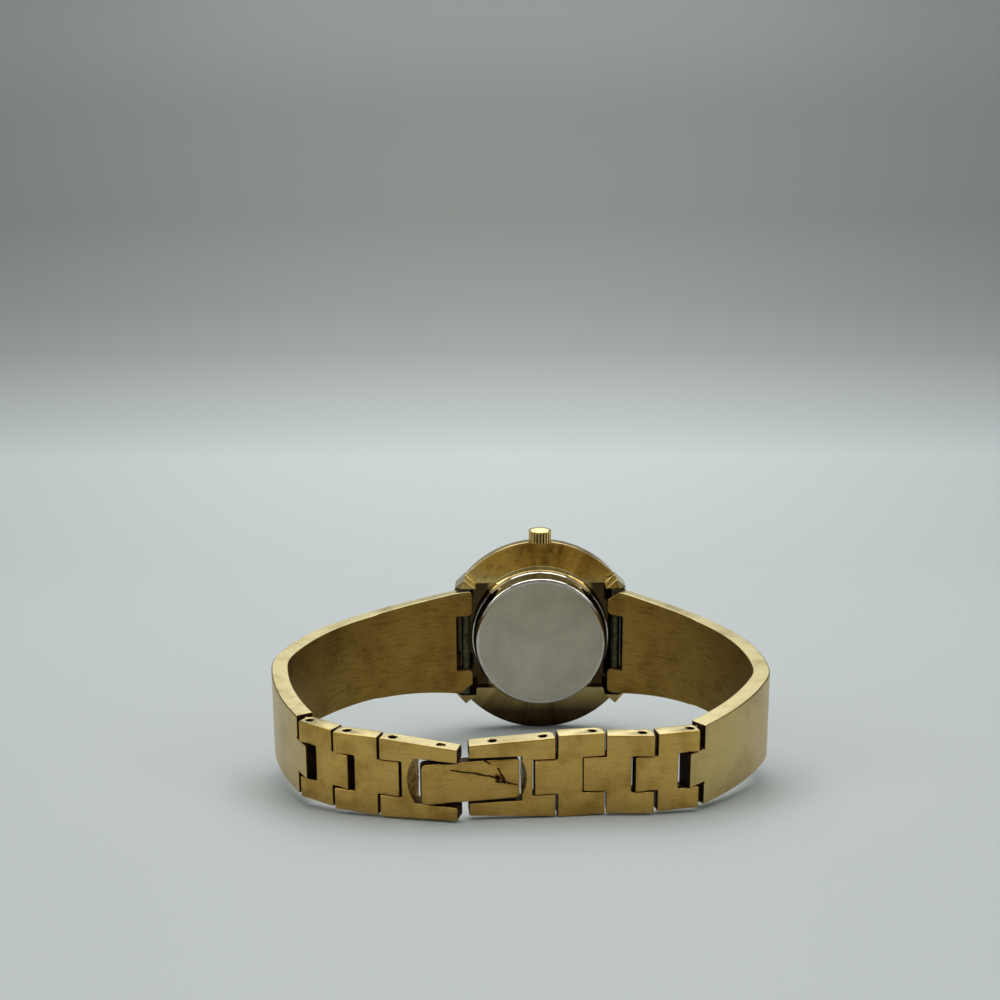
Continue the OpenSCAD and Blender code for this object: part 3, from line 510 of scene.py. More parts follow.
@dataclass(frozen=True)
class CasePlate(GoldPlate):
    """Polished case plating: mirror-like, patchy round the ring, painted shade low down and in the recesses.

    The patches round the ring are partly worn plating and partly painted reflection. The painted shade
    on the low side grows between two heights. Each recess begins at a distance from the watch's middle
    and ends at a height and a depth; its tarnish and painted shade fade in over a width at the side and
    over another at the top and bottom. All are in millimetres.
    """

    sector: float = 1.3
    low: tuple[float, float] = (-6.0, -11.8)
    low_shade_share: float = 0.93
    recess: tuple[float, float, float] = (7.2, 8.1, 4.2)
    recess_tarnish_and_shade_share: float = 0.94
    fade: tuple[float, float] = (0.6, 0.1)

    def clouds(self, tree: bpy.types.NodeTree) -> bpy.types.NodeSocket:
        """Return the factor between dull and bright plating, in patches like rays round the back.

        Args:
            tree: The material's tree.

        Returns:
            The factor.
        """
        # Partly worn plating and partly painted reflection of the stripes that the polished ring mirrors.
        spot = add_node(tree, "ShaderNodeSeparateXYZ", {0: self.local(tree)}).outputs
        turn = add_node(tree, "ShaderNodeMath", {0: spot["X"], 1: spot["Z"]}, operation="ARCTAN2").outputs[0]
        ray = add_node(tree, "ShaderNodeCombineXYZ", {"X": turn, "Y": 0.35}).outputs[0]
        return add_node(
            tree, "ShaderNodeTexNoise", {"Vector": ray, "Scale": self.sector, "Detail": 4.0, "Roughness": 0.7}
        ).outputs["Fac"]

    def darkening(self, tree: bpy.types.NodeTree, start: bpy.types.NodeSocket) -> bpy.types.NodeSocket:
        """Return the specks, painted shade low down, and tarnish with painted shade in the recesses.

        Args:
            tree: The material's tree.
            start: The marks that are there already, from 0 to 1.

        Returns:
            The stain, from 0 to 1.
        """
        spot = add_node(tree, "ShaderNodeSeparateXYZ", {0: self.local(tree)}).outputs
        marks = super().darkening(tree, start)
        # Painted shade: the case is darker towards the bottom, where its polished ring mirrors the dark.
        begin, full = self.low
        low = add_node(
            tree, "ShaderNodeMapRange", {0: spot["Z"], 1: begin, 2: full, 3: 0.0, 4: self.low_shade_share}
        ).outputs[0]
        # Tarnish and painted shade together in the recesses beside the back.
        aside = add_node(tree, "ShaderNodeMath", {0: spot["X"]}, operation="ABSOLUTE").outputs[0]
        level = add_node(tree, "ShaderNodeMath", {0: spot["Z"]}, operation="ABSOLUTE").outputs[0]
        wall, height, depth = self.recess
        side, end = self.fade
        inside = add_node(
            tree,
            "ShaderNodeMapRange",
            {0: aside, 1: wall - side, 2: wall + side, 3: 0.0, 4: self.recess_tarnish_and_shade_share},
        ).outputs[0]
        for way, edge in ((level, height), (spot["Y"], depth)):
            held = add_node(
                tree, "ShaderNodeMapRange", {0: way, 1: edge - end, 2: edge + end, 3: 1.0, 4: 0.0}
            ).outputs[0]
            inside = add_node(tree, "ShaderNodeMath", {0: inside, 1: held}, operation="MULTIPLY").outputs[0]
        for more in (low, inside):
            marks = add_node(tree, "ShaderNodeMath", {0: marks, 1: more}, operation="MAXIMUM").outputs[0]
        return marks


@dataclass(frozen=True)
class FlapPlate(GoldPlate):
    """Brushed plating of the flap, with the scratches that years of opening left.

    Each scratch is a straight stroke from one place to another on the flap, with its width, in
    millimetres from the hinge along the flap and across it.
    """

    strokes: tuple[tuple[float, float, float, float, float], ...] = ()

    def darkening(self, tree: bpy.types.NodeTree, start: bpy.types.NodeSocket) -> bpy.types.NodeSocket:
        """Return the specks and the scratches."""
        marks = {0: super().darkening(tree, start), 1: self.scratches(tree)}
        return add_node(tree, "ShaderNodeMath", marks, operation="MAXIMUM").outputs[0]

    def height(self, tree: bpy.types.NodeTree, grain: bpy.types.NodeSocket) -> bpy.types.NodeSocket:
        """Return the relief's height: the grain, cut by the scratches."""
        cut = {0: grain, 1: self.scratches(tree)}
        return add_node(tree, "ShaderNodeMath", cut, operation="SUBTRACT").outputs[0]

    def scratches(self, tree: bpy.types.NodeTree) -> bpy.types.NodeSocket:
        """Return the scratches, each a slightly wavy stroke.

        Args:
            tree: The material's tree.

        Returns:
            A factor that is one in the middle of a stroke and zero away from all of them.
        """
        place = band_place(hinge("lever_open"), hinge(HINGES[Side.LEFT][-1]))
        spot = add_node(
            tree,
            "ShaderNodeMapping",
            {
                "Vector": add_node(tree, "ShaderNodeTexCoord").outputs["Object"],
                "Location": place.origin,
                "Rotation": tuple(Matrix((place.x, place.y, place.z)).transposed().to_euler()),
                "Scale": (MM, MM, MM),
            },
            vector_type="TEXTURE",
        ).outputs[0]
        wave = add_node(tree, "ShaderNodeTexNoise", {"Vector": spot, "Scale": 1.3, "Detail": 2.0})
        shift = add_node(
            tree, "ShaderNodeVectorMath", {0: wave.outputs["Color"], 1: (-0.5, -0.5, 0.0)}, operation="ADD"
        ).outputs[0]
        wavy = add_node(
            tree, "ShaderNodeVectorMath", {0: shift, 1: (0.3, 0.3, 0.0), 2: spot}, operation="MULTIPLY_ADD"
        ).outputs[0]
        flat = add_node(
            tree, "ShaderNodeVectorMath", {0: wavy, 1: (1.0, 1.0, 0.0)}, operation="MULTIPLY"
        ).outputs[0]
        total: bpy.types.NodeSocket | None = None
        for ax, ay, bx, by, width in self.strokes:
            way = Vector((bx - ax, by - ay, 0.0))
            away = add_node(
                tree, "ShaderNodeVectorMath", {0: flat, 1: (ax, ay, 0.0)}, operation="SUBTRACT"
            ).outputs[0]
            along = add_node(
                tree, "ShaderNodeVectorMath", {0: away, 1: way / way.length_squared}, operation="DOT_PRODUCT"
            ).outputs["Value"]
            held = add_node(tree, "ShaderNodeClamp", {"Value": along}).outputs[0]
            foot = add_node(
                tree, "ShaderNodeVectorMath", {0: way, "Scale": held}, operation="SCALE"
            ).outputs[0]
            gap = add_node(
                tree, "ShaderNodeVectorMath", {0: away, 1: foot}, operation="DISTANCE"
            ).outputs["Value"]
            mark = add_node(
                tree, "ShaderNodeMapRange", {0: gap, 1: width * 0.35, 2: width, 3: 1.0, 4: 0.0}
            ).outputs[0]
            if total is not None:
                mark = add_node(tree, "ShaderNodeMath", {0: total, 1: mark}, operation="MAXIMUM").outputs[0]
            total = mark
        return total


@dataclass(frozen=True)
class PlainMetal(Finish):
    """Steel, nickel or brass parts: an even metal whose blasting or turning gives a fine cloudy gloss."""

    light: str = "#C4C2BC"
    dark: str = "#9A9892"
    rough: tuple[float, float] = (0.3, 0.45)
    period: tuple[float, float, float] = (1.2, 1.2, 1.2)
    bump: float = 0.08

    def shade(self, tree: bpy.types.NodeTree) -> bpy.types.NodeSocket:
        """Build an even metal with small changes in tone and gloss.

        Args:
            tree: The material's tree.

        Returns:
            The shader's output socket.
        """
        clouds = self.pattern(tree, self.period, 5.0, 0.6)
        tone = add_node(tree, "ShaderNodeMapRange", {0: clouds, 1: 0.35, 2: 0.65}).outputs[0]
        stops = ((0.0, self.dark), (1.0, self.light))
        colour = add_node(tree, "ShaderNodeValToRGB", {"Fac": tone}, stops).outputs["Color"]
        gloss = add_node(
            tree, "ShaderNodeMapRange", {0: clouds, 1: 0.3, 2: 0.7, 3: self.rough[0], 4: self.rough[1]}
        ).outputs[0]
        relief = add_node(
            tree, "ShaderNodeBump", {"Height": clouds, "Strength": self.bump, "Distance": RELIEF}
        ).outputs["Normal"]
        return add_node(
            tree,
            "ShaderNodeBsdfPrincipled",
            {"Base Color": colour, "Metallic": 1.0, "Roughness": gloss, "Normal": relief},
        ).outputs["BSDF"]


@dataclass(frozen=True)
class Coat(Finish):
    """Lacquer, rubber, resin or printed ink: a smooth coat with a faint mottle and no metal."""

    light: str = "#EFEBDD"
    dark: str = "#E4DECB"
    rough: float = 0.35
    period: float = 1.5

    def shade(self, tree: bpy.types.NodeTree) -> bpy.types.NodeSocket:
        """Build a coloured coat.

        Args:
            tree: The material's tree.

        Returns:
            The shader's output socket.
        """
        clouds = self.pattern(tree, (self.period,) * 3, 3.0, 0.5)
        tone = add_node(tree, "ShaderNodeMapRange", {0: clouds, 1: 0.35, 2: 0.65}).outputs[0]
        stops = ((0.0, self.dark), (1.0, self.light))
        colour = add_node(tree, "ShaderNodeValToRGB", {"Fac": tone}, stops).outputs["Color"]
        gloss = add_node(
            tree, "ShaderNodeMapRange", {0: clouds, 1: 0.3, 2: 0.7, 3: self.rough * 0.9, 4: self.rough * 1.15}
        ).outputs[0]
        return add_node(
            tree, "ShaderNodeBsdfPrincipled", {"Base Color": colour, "Roughness": gloss}
        ).outputs["BSDF"]


@dataclass(frozen=True)
class Glass(Finish):
    """Mineral glass: clear and polished, with faint smears in its gloss."""

    tint: str = "#F4F8F6"

    def shade(self, tree: bpy.types.NodeTree) -> bpy.types.NodeSocket:
        """Build clear glass.

        Args:
            tree: The material's tree.

        Returns:
            The shader's output socket.
        """
        smears = self.pattern(tree, (0.5, 0.5, 0.2), 4.0, 0.6)
        gloss = add_node(
            tree, "ShaderNodeMapRange", {0: smears, 1: 0.45, 2: 0.75, 3: 0.0, 4: 0.04}
        ).outputs[0]
        return add_node(
            tree,
            "ShaderNodeBsdfPrincipled",
            {"Base Color": linear(self.tint), "Roughness": gloss, "IOR": 1.52, "Transmission Weight": 1.0},
        ).outputs["BSDF"]


# Brushed plating of the band's outer faces: a warm satin with brown worn patches.
SATIN_GOLD = GoldPlate("gold_plate_brushed")
# Brushed plating of the arms: they catch more of the grey room, so they are painted paler, as a
# painted reflection of that room.
ARM_GOLD_PAINTED_REFLECTION = GoldPlate("gold_plate_brushed_arm_painted_reflection", bright="#CDB374", dull="#BC9F62", patch=0.16, speck_share=0.3)
# Wrist side: rubbed along the arm by wear, which leaves a browner tone with dark streaks. It is also
# painted darker, as painted shade for the wrist side that faces down into the dark inside of the bangle.
WORN_AND_SHADED_GOLD = GoldPlate(
    "gold_plate_worn_and_shaded_inside", bright="#A2813F", dull="#83632C", stain="#33220D", rough=(0.34, 0.46),
    grain=(0.45, 0.45, 4.2), grain_depth=0.35, streak=0.55, patch=0.12, speck_share=0.2,
)
# Wrist side of the links: polished by the skin, so that it mirrors the room.
RUBBED_GOLD = GoldPlate(
    "gold_plate_rubbed_links", bright="#E0C27C", dull="#C4A25C", rough=(0.16, 0.26), grain=(0.4, 0.4, 5.0),
    grain_depth=0.12, speck_share=0.2,
)
# Narrow edges: left greyer and flatter by the brushing wheel.
EDGE_GOLD = GoldPlate(
    "gold_plate_edge", bright="#BDB080", dull="#A09160", rough=(0.3, 0.42), grain=(3.0, 3.0, 0.6), patch=0.3,
    speck_share=0.2,
)
# Polished plating of the case: a mirror gone patchy, partly as painted reflection, with painted shade
# on the low side; its stain colour is used for specks, tarnish and that painted shade.
POLISHED_GOLD = CasePlate(
    "gold_plate_polished", bright="#E2C884", dull="#96743A", stain="#24140A", rough=(0.05, 0.16),
    grain=(1.5, 1.5, 1.5), grain_depth=0.03, streak=0.0, speck_share=0.6,
)
# Bezel: the same mirror plating, kept brighter by handling.
BEZEL_GOLD = GoldPlate(
    "gold_plate_polished_bezel", bright="#DCC07A", dull="#BC9C58", rough=(0.06, 0.14), grain=(1.5, 1.5, 1.5),
    grain_depth=0.03, streak=0.0,
)
# Crown: polished plating, paler where fingers have rubbed it.
CROWN_GOLD = GoldPlate(
    "gold_plate_crown", bright="#E4CB88", dull="#C6A868", rough=(0.12, 0.22), grain=(2.0, 2.0, 2.0),
    grain_depth=0.05, streak=0.0,
)
# Gap walls, bores and recesses: brown-black tarnish that never gets rubbed off, and painted shade
# where these walls lie between parts and shade falls on them.
TARNISH_AND_SHADE_GOLD = GoldPlate(
    "gold_plate_tarnish_and_shade", bright="#45301A", dull="#26180C", stain="#140C06", rough=(0.5, 0.75),
    grain=(2.0, 2.0, 2.0), grain_depth=0.5, patch=0.9,
)
# Window ends of the clasp: rough brown tarnish with plating showing through.
SCOOP_GOLD = GoldPlate(
    "gold_plate_tarnished_scoop", bright="#B8965C", dull="#5E4428", stain="#241208", rough=(0.45, 0.65),
    grain=(3.4, 3.4, 3.4), grain_depth=1.0, streak=0.9, patch=2.2, speck_share=0.9,
)
# Pins: thin dulled plating, and steel where it has worn off.
PIN_GOLD = GoldPlate("gold_plate_worn_pins", bright="#75602F", dull="#44331A", rough=(0.35, 0.55))
PIN_STEEL = PlainMetal("steel_bare_pin", light="#8C8A7C", dark="#6A685C")
# Spring bars: steel gone green-black in the recess.
BAR_STEEL = PlainMetal("steel_spring_bar_tarnished", light="#5C5A44", dark="#33321F", rough=(0.25, 0.45))
# Hands and hour batons: polished plating that was never handled, so it is clean and bright.
TRIM_GOLD = GoldPlate("gold_plate_trim", bright="#D8BC74", dull="#C4A45C", rough=(0.12, 0.2), speck_share=0.0)
# The flap's outer face: brushed plating cut by dark scratches.
FLAP_GOLD = FlapPlate(
    "gold_plate_brushed_flap", bright="#C49E54", dull="#A6823E", stain="#26100A", speck_share=0.3,
    strokes=(
        (4.35, -1.52, 2.04, -0.98, 0.13), (2.04, -0.98, -0.42, -0.3, 0.16),
        (-0.52, -0.34, -0.66, -0.06, 0.42), (-0.62, -1.32, -0.98, -0.62, 0.13),
        (-0.98, -0.62, -1.36, 0.13, 0.17), (-1.36, 0.13, -1.85, 0.56, 0.16),
        (-1.85, 0.56, -2.7, 0.78, 0.11), (-0.5, 0.2, -1.36, 0.4, 0.2),
        (-0.7, -0.5, -1.3, 0.3, 0.16), (0.9, -2.36, 0.23, -1.9, 0.14),
    ),
)
# Snap back: stainless steel with a blasted, matte face and a turned and polished lip round it. The
# grit of about 0.05 mm is too fine to show and stays in the roughness; the clouds are handling marks.
MATTE_STEEL = PlainMetal(
    "steel_bead_blasted", light="#C8C2B2", dark="#B4AE9E", rough=(0.40, 0.50), period=(0.25,) * 3, bump=0.05
)
LIP_STEEL = PlainMetal(
    "steel_polished_lip", light="#E0DDD4", dark="#C8C4B8", rough=(0.05, 0.1), period=(0.8,) * 3, bump=0.02
)
# Screws, bridge, stem and battery: stamped or turned steel, a cool satin grey.
WORKS_STEEL = PlainMetal("steel_satin_works")
# Plate and wheels: gilt brass, a warm even yellow.
WORKS_BRASS = PlainMetal("brass_gilt_works", light="#CDAE62", dark="#A98A44")
# Dial: cream lacquer with a soft sheen, and matte ink printed on it.
DIAL_LACQUER = Coat("lacquer_dial_cream", light="#E8E4D6", dark="#DFDAC9", rough=0.3)
DIAL_INK = Coat("ink_dial_print", light="#2A2824", dark="#1C1A17", rough=0.5)
# Gaskets: moulded nitrile rubber, a dull black.
SEAL_RUBBER = Coat("rubber_nitrile_seal", light="#1C1C1C", dark="#101010", rough=0.75)
# Circuit block: resin board under green solder mask, with a low sheen.
BOARD_RESIN = Coat("resin_circuit_board", light="#2C5A3A", dark="#1E4229", rough=0.45)
# Coil: enamelled copper wire of about 0.02 mm, drawn as turns of 0.1 mm because finer ones don't show.
COIL_ENAMEL = PlainMetal(
    "copper_enamelled_wire", light="#B4683A", dark="#7E4020", rough=(0.25, 0.4), period=(9.0, 0.4, 0.4)
)
# Crystal: flat mineral glass, clear with a hard bright reflection.
CRYSTAL_GLASS = Glass("glass_mineral")


# The finishes of the arms, of the links and clasp halves, and of the flap, in the order of the zones.
ARM_FINISHES = (ARM_GOLD_PAINTED_REFLECTION, WORN_AND_SHADED_GOLD, EDGE_GOLD, TARNISH_AND_SHADE_GOLD)
LINK_FINISHES = (SATIN_GOLD, RUBBED_GOLD, EDGE_GOLD, TARNISH_AND_SHADE_GOLD)
FLAP_FINISHES = (FLAP_GOLD, RUBBED_GOLD, WORN_AND_SHADED_GOLD, TARNISH_AND_SHADE_GOLD)


def dress(
    piece: bpy.types.Object, finish: Finish | tuple[Finish, ...], body: str | None = None
) -> bpy.types.Object:
    """Give a piece its finishes, and its body where it isn't a CAD node.

    Args:
        piece: The piece or CAD node.
        finish: The finish of its surface, or its finishes in the order of its material slots.
        body: The body that a new piece rides on.

    Returns:
        The piece.
    """
    finishes = finish if isinstance(finish, tuple) else (finish,)
    chosen = [face.material_index for face in piece.data.polygons] if len(finishes) > 1 else []
    piece.data.materials.clear()
    for one in finishes:
        piece.data.materials.append(one.build())
    for face, index in zip(piece.data.polygons, chosen):
        face.material_index = index
    if body is not None:
        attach(piece, body)
    log.info("dressed %s", piece.name)
    return piece


class NodeTree:
    """A geometry tree with named inputs, made once and run on new objects."""

    def __init__(self, name: str, inputs: dict[str, str]) -> None:
        """Start the tree.

        Args:
            name: The tree's name.
            inputs: Socket type of each input, by name.
        """
        self.tree = bpy.data.node_groups.new(name, "GeometryNodeTree")
        self.sockets = {
            label: self.tree.interface.new_socket(label, in_out="INPUT", socket_type=kind).identifier
            for label, kind in inputs.items()
        }
        self.tree.interface.new_socket("Geometry", in_out="OUTPUT", socket_type="NodeSocketGeometry")
        self.given = self.add("NodeGroupInput")

    def add(self, kind: str, inputs: dict | None = None, **settings) -> bpy.types.Node:
        """Add a node to the tree, as add_node does."""
        return add_node(self.tree, kind, inputs, **settings)

    def end(self, geometry: bpy.types.NodeSocket) -> None:
        """Close the tree with Realize Instances and Set Material.

        Args:
            geometry: The last shape that the tree makes.
        """
        real = self.add("GeometryNodeRealizeInstances", {"Geometry": geometry}).outputs[0]
        dressed = self.add(
            "GeometryNodeSetMaterial", {"Geometry": real, "Material": self.given.outputs["Finish"]}
        ).outputs[0]
        self.add("NodeGroupOutput", {0: dressed})

    def run(self, name: str, values: dict[str, object]) -> bpy.types.Object:
        """Return an object whose live modifier runs the tree.

        Args:
            name: The object's name.
            values: The value of each input, by name.

        Returns:
            The object, in local millimetres, ready for more modifiers.
        """
        worked = new_object(name, bpy.data.meshes.new(name))
        modifier = worked.modifiers.new("shape", "NODES")
        modifier.node_group = self.tree
        for label, value in values.items():
            modifier[self.sockets[label]] = value
        return worked


class RingTree(NodeTree):
    """Bars set at even steps on a circle: hour batons, minute marks and the crown's ridges."""

    def __init__(self) -> None:
        """Build the tree."""
        number, size = "NodeSocketFloat", "NodeSocketVector"
        super().__init__(
            "bars_on_a_circle",
            {
                "Count": "NodeSocketInt", "Radius": number, "Bar Size": size, "Lift": size,
                "Finish": "NodeSocketMaterial",
            },
        )
        given = self.given.outputs
        circle = self.add("GeometryNodeMeshCircle", {"Vertices": given["Count"], "Radius": given["Radius"]})
        bar = self.add("GeometryNodeMeshCube", {"Size": given["Bar Size"]})
        spot = self.add("GeometryNodeInputPosition")
        turn = self.add(
            "FunctionNodeAlignRotationToVector", {"Vector": spot.outputs[0]}, axis="X", pivot_axis="Z"
        )
        placed = self.add(
            "GeometryNodeInstanceOnPoints",
            {"Points": circle.outputs[0], "Instance": bar.outputs["Mesh"], "Rotation": turn.outputs[0]},
        )
        lifted = self.add(
            "GeometryNodeTransform", {"Geometry": placed.outputs[0], "Translation": given["Lift"]}
        )
        self.end(lifted.outputs[0])


class LinkTree(NodeTree):
    """One link: a block with a tongue, a notch for the next tongue, two bevels and two pin bores."""

    def __init__(self) -> None:
        """Build the tree."""
        number, size = "NodeSocketFloat", "NodeSocketVector"
        super().__init__(
            "interlocking_link",
            {
                "Block Size": size, "Block Place": size, "Tongue Size": size, "Tongue Place": size,
                "Notch Size": size, "Notch Place": size, "Bevel Size": size, "Prong Bevel Place": size,
                "Tongue Bevel Place": size, "Bore Radius": number, "Bore Place": size,
                "Finish": "NodeSocketMaterial",
            },
        )
        block = self.box("Block Size", "Block Place")
        tongue = self.box("Tongue Size", "Tongue Place")
        notch = self.box("Notch Size", "Notch Place")
        slant = (0.0, math.pi / 4, 0.0)
        bevels = [self.box("Bevel Size", f"{end} Bevel Place", slant) for end in ("Prong", "Tongue")]
        bore = self.add(
            "GeometryNodeMeshCylinder",
            {"Vertices": 32, "Radius": self.given.outputs["Bore Radius"], "Depth": THROUGH},
        ).outputs["Mesh"]
        lying = self.add(
            "GeometryNodeTransform", {"Geometry": bore, "Rotation": (math.pi / 2, 0.0, 0.0)}
        ).outputs[0]
        second = self.add(
            "GeometryNodeTransform", {"Geometry": lying, "Translation": self.given.outputs["Bore Place"]}
        ).outputs[0]
        whole = self.add("GeometryNodeMeshBoolean", operation="UNION", solver="EXACT")
        for mesh in (block, tongue):
            self.tree.links.new(mesh, whole.inputs["Mesh 2"])
        cut = self.add(
            "GeometryNodeMeshBoolean", {"Mesh 1": whole.outputs[0]}, operation="DIFFERENCE", solver="EXACT"
        )
        for mesh in (notch, *bevels, lying, second):
            self.tree.links.new(mesh, cut.inputs["Mesh 2"])
        self.end(cut.outputs[0])

    def box(
        self, size: str, place: str, turn: tuple[float, float, float] = (0.0, 0.0, 0.0)
    ) -> bpy.types.NodeSocket:
        """Add a block whose size and place are inputs of the tree.

        Args:
            size: The input that holds its size.
            place: The input that holds its middle.
            turn: Its turn in radians.

        Returns:
            The block's mesh.
        """
        cube = self.add("GeometryNodeMeshCube", {"Size": self.given.outputs[size]}).outputs["Mesh"]
        return self.add(
            "GeometryNodeTransform",
            {"Geometry": cube, "Translation": self.given.outputs[place], "Rotation": turn},
        ).outputs[0]


@dataclass
class Case:
    """Rim, bezel, glass, snap back, crown and spring bars.

    The back's and the bezel's sections are points of radius and depth behind the back face. The
    crown's lip is given by points of inset from its radius and drop below the dome's edge, and its
    bore by radius and depth.
    """

    edge: float = 0.07
    back_rim_r: float = 9.05
    back: tuple[tuple[float, float], ...] = (
        (0.0, 0.0), (8.75, 0.0), (9.0, 0.012), (9.15, 0.04), (9.28, 0.09), (9.38, 0.16), (9.45, 0.25),
        (9.49, 0.36), (9.52, 0.5), (9.6, 0.83), (9.69, 1.54), (9.78, 2.2), (9.83, 2.3), (9.93, 2.39),
        (9.95, 2.43), (9.95, 2.65), (9.22, 2.65), (9.22, 0.5), (0.0, 0.5),
    )
    bezel: tuple[tuple[float, float], ...] = (
        (10.0, 4.87), (10.55, 4.87), (10.55, 5.1), (13.9, 5.1), (13.95, 5.14), (13.95, 5.21), (13.9, 5.265),
        (11.02, 6.515), (10.94, 6.545), (10.74, 6.55), (10.7, 6.52), (10.7, 5.95), (10.0, 5.95),
    )
    crown_r: float = 1.65
    crown_h: float = 2.09
    crown_dome_r: float = 3.96
    crown_edge: float = 0.05
    crown_bore: tuple[float, float] = (0.95, 1.25)
    lip: tuple[tuple[float, float], ...] = ((0.17, 0.3), (0.02, 0.22), (0.0, 0.16), (0.0, 0.04))
    dome_steps: int = 12
    crown_steps: int = 132
    ridges: int = 22
    ridge_size: tuple[float, float, float] = (0.36, 0.27, 1.5)
    ridge_inset: float = 0.01
    ridge_lift: float = 0.03
    ridge_edge: float = 0.07
    groove_inset: float = 0.1
    groove_foot: float = 0.02
    groove_share: float = 0.72

    def build(self, rings: RingTree) -> None:
        """Make and dress the pieces of the case.

        Args:
            rings: The tree that sets bars on a circle.
        """
        dress(softened_copy("mid_case", "case_middle", self.edge), POLISHED_GOLD, "case")
        bezel = lathe("case_bezel", list(self.bezel), WATCH)
        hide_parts("bezel")
        dress(bezel, BEZEL_GOLD, "case")
        back = lathe("snap_back", list(self.back), WATCH)
        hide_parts("case_back")
        dress(back, (MATTE_STEEL, LIP_STEEL), "case")
        repaint(back, WATCH, self.on_back_rim)
        self.crown(rings)
        for side in Side:
            dress(frame["nodes"][f"spring_bar_{side.value}"], BAR_STEEL)
        dress(frame["nodes"]["crystal"], CRYSTAL_GLASS)
        for node in ("crystal_gasket", "back_gasket", "crown_gasket"):
            dress(frame["nodes"][node], SEAL_RUBBER)
        for node in ("crown_tube", "stem"):
            dress(frame["nodes"][node], WORKS_STEEL)

    def on_back_rim(self, normal: Vector, middle: Vector) -> int:
        """Return the polished slot for the side of the snap back."""
        return int(math.hypot(middle.x, middle.z) > self.back_rim_r)

    def in_grooves(self, normal: Vector, middle: Vector) -> int:
        """Return the slot of tarnish and painted shade for the knob's wall between the ridges.

        Args:
            normal: The face's normal, which is not used.
            middle: The face's middle, in millimetres from the crown's foot.

        Returns:
            One between the ridges, and zero on the rest of the knob.
        """
        inside = math.hypot(middle.x, middle.z) < self.crown_r - self.groove_inset
        return int(inside and self.groove_foot < middle.y < self.crown_h * self.groove_share)

    def crown(self, rings: RingTree) -> None:
        """Make the crown: a domed knob with ridges round it.

        Args:
            rings: The tree that sets bars on a circle.
        """
        foot = hinge("crown_turn")
        place = Place(foot, RIGHT_WAY, CROWN_WAY, -FRONT_WAY)
        knob = lathe("crown_knob", self.crown_profile(), place, self.crown_steps)
        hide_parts("crown")
        dress(knob, (CROWN_GOLD, TARNISH_AND_SHADE_GOLD), "crown")
        repaint(knob, place, self.in_grooves)
        thick, _, tall = self.ridge_size
        worked = rings.run(
            "crown_ridges",
            {
                "Count": self.ridges,
                "Radius": self.crown_r - thick / 2 - self.ridge_inset,
                "Bar Size": self.ridge_size,
                "Lift": (0.0, 0.0, tall / 2 + self.ridge_lift),
                "Finish": CROWN_GOLD.build(),
            },
        )
        add_bevel(worked, self.ridge_edge)
        ridges = settle(worked, Place(foot, RIGHT_WAY, -FRONT_WAY, CROWN_WAY).matrix())
        dress(ridges, CROWN_GOLD, "crown")

    def crown_profile(self) -> list[tuple[float, float]]:
        """Return the knob's section: a hollow core, the lip over the grooves and a domed top.

        Returns:
            Radius and height of each point, in order round the section.
        """
        outer, dome, soft = self.crown_r, self.crown_dome_r, self.crown_edge
        bore, deep = self.crown_bore
        core = outer - self.lip[0][0]
        dome_foot = self.crown_h - dome
        side = dome_foot + math.sqrt(dome**2 - outer**2)
        profile = [(bore, 0.0), (core - soft, 0.0), (core, soft)]
        profile += [(outer - inset, side - drop) for inset, drop in self.lip]
        rim = outer - self.lip[-1][1]
        for i in range(1, self.dome_steps + 1):
            radius = rim * (1 - i / self.dome_steps)
            profile.append((radius, dome_foot + math.sqrt(dome**2 - radius**2)))
        return [*profile, (0.0, deep), (bore - soft, deep), (bore, deep - soft)]


@dataclass
class Dial:
    """Dial, hour batons, minute marks and hands."""

    face: float = 4.85
    baton: tuple[float, float, float] = (1.5, 0.34, 0.15)
    baton_r: float = 8.25
    mark: tuple[float, float, float] = (0.55, 0.07, 0.012)
    mark_r: float = 9.55
    baton_edge: float = 0.04
    hand_edge: float = 0.04

    def build(self, rings: RingTree) -> None:
        """Make and dress the dial side.

        Args:
            rings: The tree that sets bars on a circle.
        """
        dress(frame["nodes"]["dial"], DIAL_LACQUER)
        out = -FRONT_WAY
        to_row = Place(BACK_FACE, RIGHT_WAY, out.cross(RIGHT_WAY), out).matrix()
        worked = rings.run("hour_batons", self.ring(12, self.baton_r, self.baton, TRIM_GOLD))
        add_bevel(worked, self.baton_edge, 2)
        batons = settle(worked, to_row)
        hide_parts("hour_markers")
        dress(batons, TRIM_GOLD, "case")
        worked = rings.run("minute_marks", self.ring(60, self.mark_r, self.mark, DIAL_INK))
        dress(settle(worked, to_row), DIAL_INK, "case")
        for node, body in (("hour_hand", "hours"), ("minute_hand", "minutes")):
            dress(softened_copy(node, f"{node}_faceted", self.hand_edge), TRIM_GOLD, body)

    def ring(
        self, count: int, radius: float, bar: tuple[float, float, float], finish: Finish
    ) -> dict[str, object]:
        """Return the tree's inputs for bars that stand on the dial's face.

        Args:
            count: How many bars.
            radius: Where they stand.
            bar: Length, width and height of a bar.
            finish: Their finish.

        Returns:
            The value of each input, by name.
        """
        return {
            "Count": count,
            "Radius": radius,
            "Bar Size": bar,
            "Lift": (0.0, 0.0, self.face + bar[2] / 2),
            "Finish": finish.build(),
        }


@dataclass
class Movement:
    """The sealed works: the pieces of steel and those of brass, by their nodes."""

    steel: tuple[str, ...] = ("train_bridge", "bridge_screws", "battery_cell", "rotor", "stator")
    brass: tuple[str, ...] = (
        "main_plate", "battery_strap", "intermediate_wheel", "third_wheel", "centre_wheel",
        "cannon_pinion", "minute_wheel", "hour_wheel",
    )

    def build(self) -> None:
        """Dress the pieces of the works."""
        for node in self.steel:
            dress(frame["nodes"][node], WORKS_STEEL)
        for node in self.brass:
            dress(frame["nodes"][node], WORKS_BRASS)
        dress(frame["nodes"]["circuit_block"], BOARD_RESIN)
        dress(frame["nodes"]["coil"], COIL_ENAMEL)


